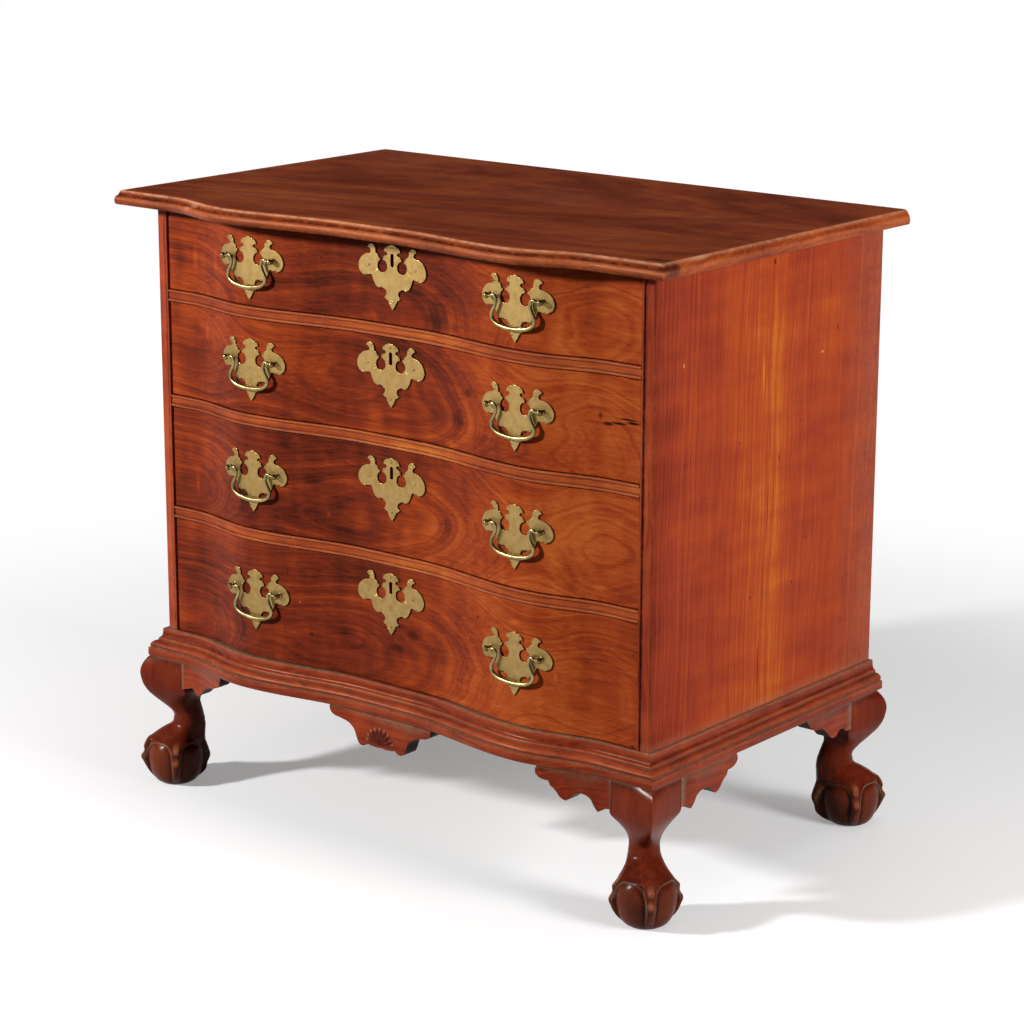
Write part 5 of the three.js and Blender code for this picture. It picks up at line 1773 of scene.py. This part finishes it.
    def bail(self) -> Shell:
        """Swan-necked bail about its own axis, hanging straight down.

        A circle is carried along the route: each of its points is the route's point plus the radius
        times the cosine forwards and the sine sideways. The radius swells to the middle.

        Returns:
            The bail.
        """
        half = np.array(self.bail_route) * (self.bail_half, self.bail_drop)
        knots = np.concatenate([half * (-1, 1), half[-2::-1]])
        route = spline(knots, 12)
        end, bend = (self.bail_end, 0), (self.bail_bend, 0.1)
        route = np.concatenate([np.array([end, bend]) * (-1, 1), route, [bend, end]])
        run = np.concatenate([[0], np.cumsum(np.linalg.norm(np.diff(route, axis=0), axis=1))])
        share = run / run[-1]
        tangent = np.gradient(route, run, axis=0)
        tangent /= np.linalg.norm(tangent, axis=1, keepdims=True)
        pin, neck, more = self.bail_radii
        radius = neck + more * np.sin(np.pi * np.clip((share - 0.14) / 0.72, 0, 1)) ** 3
        radius[[0, 1, -2, -1]] = pin
        angle = 2 * np.pi * np.arange(24) / 24
        side = np.column_stack([-tangent[:, 1], tangent[:, 0]])
        forward = radius[:, None] * np.cos(angle)
        sideways = radius[:, None] * np.sin(angle)
        x = route[:, :1] + side[:, :1] * sideways
        z = route[:, 1:] + side[:, 1:] * sideways
        return loft(np.stack([x, -forward, z], axis=-1))


@dataclass
class Drawer:
    """One drawer: its front, two pulls, an escutcheon, and the pine box and iron lock of the CAD."""

    finishes: Finishes
    brasses: Brasses
    number: int
    floor: float
    height: float
    pull_height: float
    escutcheon_x: float
    escutcheon_z: float
    gap_below: float = 0.8
    gap_above: float = 1.2
    gap_beside: float = 1.0
    back: float = 24.0

    def build(self) -> None:
        """Make the drawer's pieces and dress the ones that stay."""
        body = f"drawer_{self.number}"
        self.front(body)
        self.escutcheon(body)
        for hand, (x, axis) in PULLS.items():
            self.pull(body, hand, x, axis * 1000 - ORIGIN_Y)
        dress(f"{body}_box", self.finishes.pine_deep)
        dress(f"{body}_bottom", self.finishes.pine)
        dress(f"{body}_lock", self.finishes.iron)

    def front(self, body: str) -> None:
        """Make the front board: a rectangle with the keyhole cut out, bent to the front.

        Args:
            body: CAD body on which it rides.
        """
        low, high = self.floor + self.gap_below, self.floor + self.height - self.gap_above
        end = OPENING_HALF - self.gap_beside
        rectangle = np.array([(-end, low), (end, low), (end, high), (-end, high)])
        hole = self.brasses.keyhole(0.2) + (self.escutcheon_x, self.escutcheon_z)
        flat, faces = flat_fill([rectangle, hole], np.arange(-end, end, 6)[1:])
        far = np.column_stack([flat[:, 0], np.full(len(flat), self.back), flat[:, 1]])
        shell = thickened(faces, on_front(flat, 1), far)
        finishes = (self.finishes.fronts[self.number - 1],)
        add_piece(f"{body}_front_board", shell, finishes, body, (f"{body}_front",), bevel=0.9)

    def escutcheon(self, body: str) -> None:
        """Make the pierced escutcheon and its pins.

        Args:
            body: CAD body on which it rides.
        """
        x, z = self.escutcheon_x, self.escutcheon_z
        shell = self.brasses.plate(x, z, True)
        finishes = (self.finishes.plate, self.finishes.plate_edge)
        node = f"{body}_escutcheon"
        add_piece(f"{node}_plate", shell, finishes, body, (node,), bevel=0.4, bevel_finish=1)
        pins = self.brasses.pins(x, z)
        add_piece(f"{node}_pins", pins, (self.finishes.post,), body)

    def pull(self, body: str, hand: str, x: float, axis: float) -> None:
        """Make one pull: its plate, its two posts and its bail.

        Args:
            body: CAD body on which the plate rides.
            hand: left or right.
            x: the plate's middle across.
            axis: depth of the bail's axis.
        """
        node = f"{body}_pull_plate_{hand}"
        plate = self.brasses.plate(x, self.pull_height, False)
        finishes = (self.finishes.plate, self.finishes.plate_edge)
        add_piece(f"{node}_face", plate, finishes, body, (node,), bevel=0.4, bevel_finish=1)
        z, spread = self.pull_height + self.brasses.post_rise, self.brasses.post_spread
        posts = joined(*(self.brasses.post(x + dx, z, axis) for dx in (-spread, spread)))
        add_piece(f"{node}_posts", posts, (self.finishes.post,), body, (node,))
        bail = self.brasses.bail().moved(x, axis, z)
        rides, name = f"bail_{self.number}_{hand}", f"{body}_bail_{hand}"
        add_piece(f"{name}_grip", bail, (self.finishes.bail,), rides, (name,), sharp=60)


def dress(node: str, finish: Material) -> None:
    """Give a CAD node that stays its finish, in every material slot.

    Args:
        node: the node's name.
        finish: its material.
    """
    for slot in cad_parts[node].material_slots:
        slot.material = finish
    LOG.info("%s: dressed in %s", node, finish.name)


# --------------------------------------------------------------------------------------- studio


@dataclass
class Studio:
    """Pale floor, soft lamps and the photograph's camera."""

    lens: float = 103.84
    camera_place: tuple[float, float, float] = (2.4564, -2.9986, 1.4332)
    yaw: float = 39.064
    pitch: float = 14.691
    roll: float = 0.133

    def build(self) -> None:
        """Make the camera, the floor, the world and the lamps."""
        self.camera()
        self.floor()
        self.world()
        self.lamp("key_lamp", (-1.85, -2.75, 1.8), (0, 0, 0.45), 0.3, 135)
        self.lamp("side_lamp", (3.2, 0.1, 1.3), (0.3, 0, 0.45), 1.0, 82, shine=False)
        self.lamp("top_lamp", (0.3, 0.6, 3.2), (0, 0, 0.8), 2.0, 16)
        bpy.context.scene.view_settings.view_transform = "Standard"

    def camera(self) -> None:
        """Make the camera: turned left by its yaw, tipped down by its pitch."""
        data = bpy.data.cameras.new("photo_camera")
        data.lens = self.lens
        data.sensor_width = 36
        data.clip_end = 100
        camera = bpy.data.objects.new("photo_camera", data)
        bpy.context.scene.collection.objects.link(camera)
        aim = Euler((np.radians(90 - self.pitch), 0, np.radians(self.yaw))).to_matrix()
        turn = aim @ Matrix.Rotation(np.radians(self.roll), 3, "Z")
        camera.matrix_world = Matrix.Translation(self.camera_place) @ turn.to_4x4()
        bpy.context.scene.camera = camera

    def floor(self) -> None:
        """Make the floor with its screens: matt white near the chest, for its shadow, and plain white past it."""
        rim, tall = 12.0, 1.6
        corners = [(-rim, -rim), (rim, -rim), (rim, rim), (-rim, rim)]
        screens = [(side, (side + 1) % 4, (side + 1) % 4 + 4, side + 4) for side in range(4)]
        mesh = bpy.data.meshes.new("floor")
        mesh.from_pydata([(x, y, z) for z in (0, tall) for x, y in corners], [], [(0, 1, 2, 3), *screens])
        floor = bpy.data.objects.new("floor", mesh)
        bpy.context.scene.collection.objects.link(floor)
        material, node, size = new_material("studio_floor")
        reach = node("VectorMath", {"operation": "LENGTH"}, {0: size})
        spread = {"interpolation_type": "SMOOTHERSTEP", "From Min": 700, "From Max": 1900}
        fade = node("MapRange", spread, {0: reach.outputs["Value"]})
        matt = node("BsdfDiffuse", {"Color": linear("#e8e8e8")})
        lit = node("AddShader", {}, {0: matt, 1: node("Emission", {"Strength": 0.28})})
        seen = node("MixShader", {}, {0: fade, 1: lit, 2: node("Emission", {"Strength": 1.0})})
        # Bounced light meets a darker floor, so that the chest's own shade stays deep
        dim = node("BsdfDiffuse", {"Color": linear("#606060")})
        rays = node("LightPath").outputs
        direct = node("Math", {"operation": "MAXIMUM"}, {0: rays["Is Camera Ray"], 1: rays["Is Glossy Ray"]})
        direct = node("Math", {"operation": "MAXIMUM"}, {0: direct, 1: rays["Is Transmission Ray"]})
        node("OutputMaterial", {}, {"Surface": node("MixShader", {}, {0: direct, 1: dim, 2: seen})})
        mesh.materials.append(material)

    def world(self) -> None:
        """Make the world: plain pale light from all round."""
        world = bpy.data.worlds.new("studio")
        bpy.context.scene.world = world
        world.use_nodes = True
        world.node_tree.nodes.clear()
        node = partial(add_node, world.node_tree)
        sky = node("Background", {"Color": linear("#ffffff"), "Strength": 0.08})
        node("OutputWorld", {}, {"Surface": sky})

    def lamp(
        self,
        name: str,
        place: tuple[float, float, float],
        aim: tuple[float, float, float],
        size: float,
        power: float,
        shine: bool = True,
    ) -> None:
        """Add a square soft lamp of white light.

        Args:
            name: its name.
            place: where it stands, in metres.
            aim: what it points at.
            size: its side.
            power: its power in watts.
            shine: whether polished faces show it, which would whiten the top from across.
        """
        data = bpy.data.lights.new(name, "AREA")
        data.size = size
        data.energy = power
        lamp = bpy.data.objects.new(name, data)
        lamp.location = place
        lamp.visible_glossy = shine
        lamp.rotation_euler = (Vector(aim) - Vector(place)).to_track_quat("-Z", "Y").to_euler()
        bpy.context.scene.collection.objects.link(lamp)


def main() -> None:
    """Build the studio and every sub-assembly in order."""
    logging.basicConfig(level=logging.INFO, format="%(name)s: %(message)s")
    finishes = Finishes.mixed()
    Studio().build()
    for part in (TopBoard, SideBoards, Rails, BaseMoulding, Legs, KneeBrackets, Pendant):
        part(finishes).build()
    brasses = Brasses(finishes)
    # Number, floor, height, height of the pulls, place across and height of the escutcheon
    for sizes in (
        (1, 707.7, 114.8, 758.8, 3.0, 769.0),
        (2, 561.5, 129.7, 622.35, -1.0, 641.2),
        (3, 403.8, 141.2, 470.4, -1.0, 490.5),
        (4, 224.0, 163.3, 305.15, -4.0, 335.3),
    ):
        Drawer(finishes, brasses, *sizes).build()
    for node in ("back_board_lower", "back_board_upper", "bottom_board"):
        dress(node, finishes.pine)


if __name__ == "__main__":
    main()
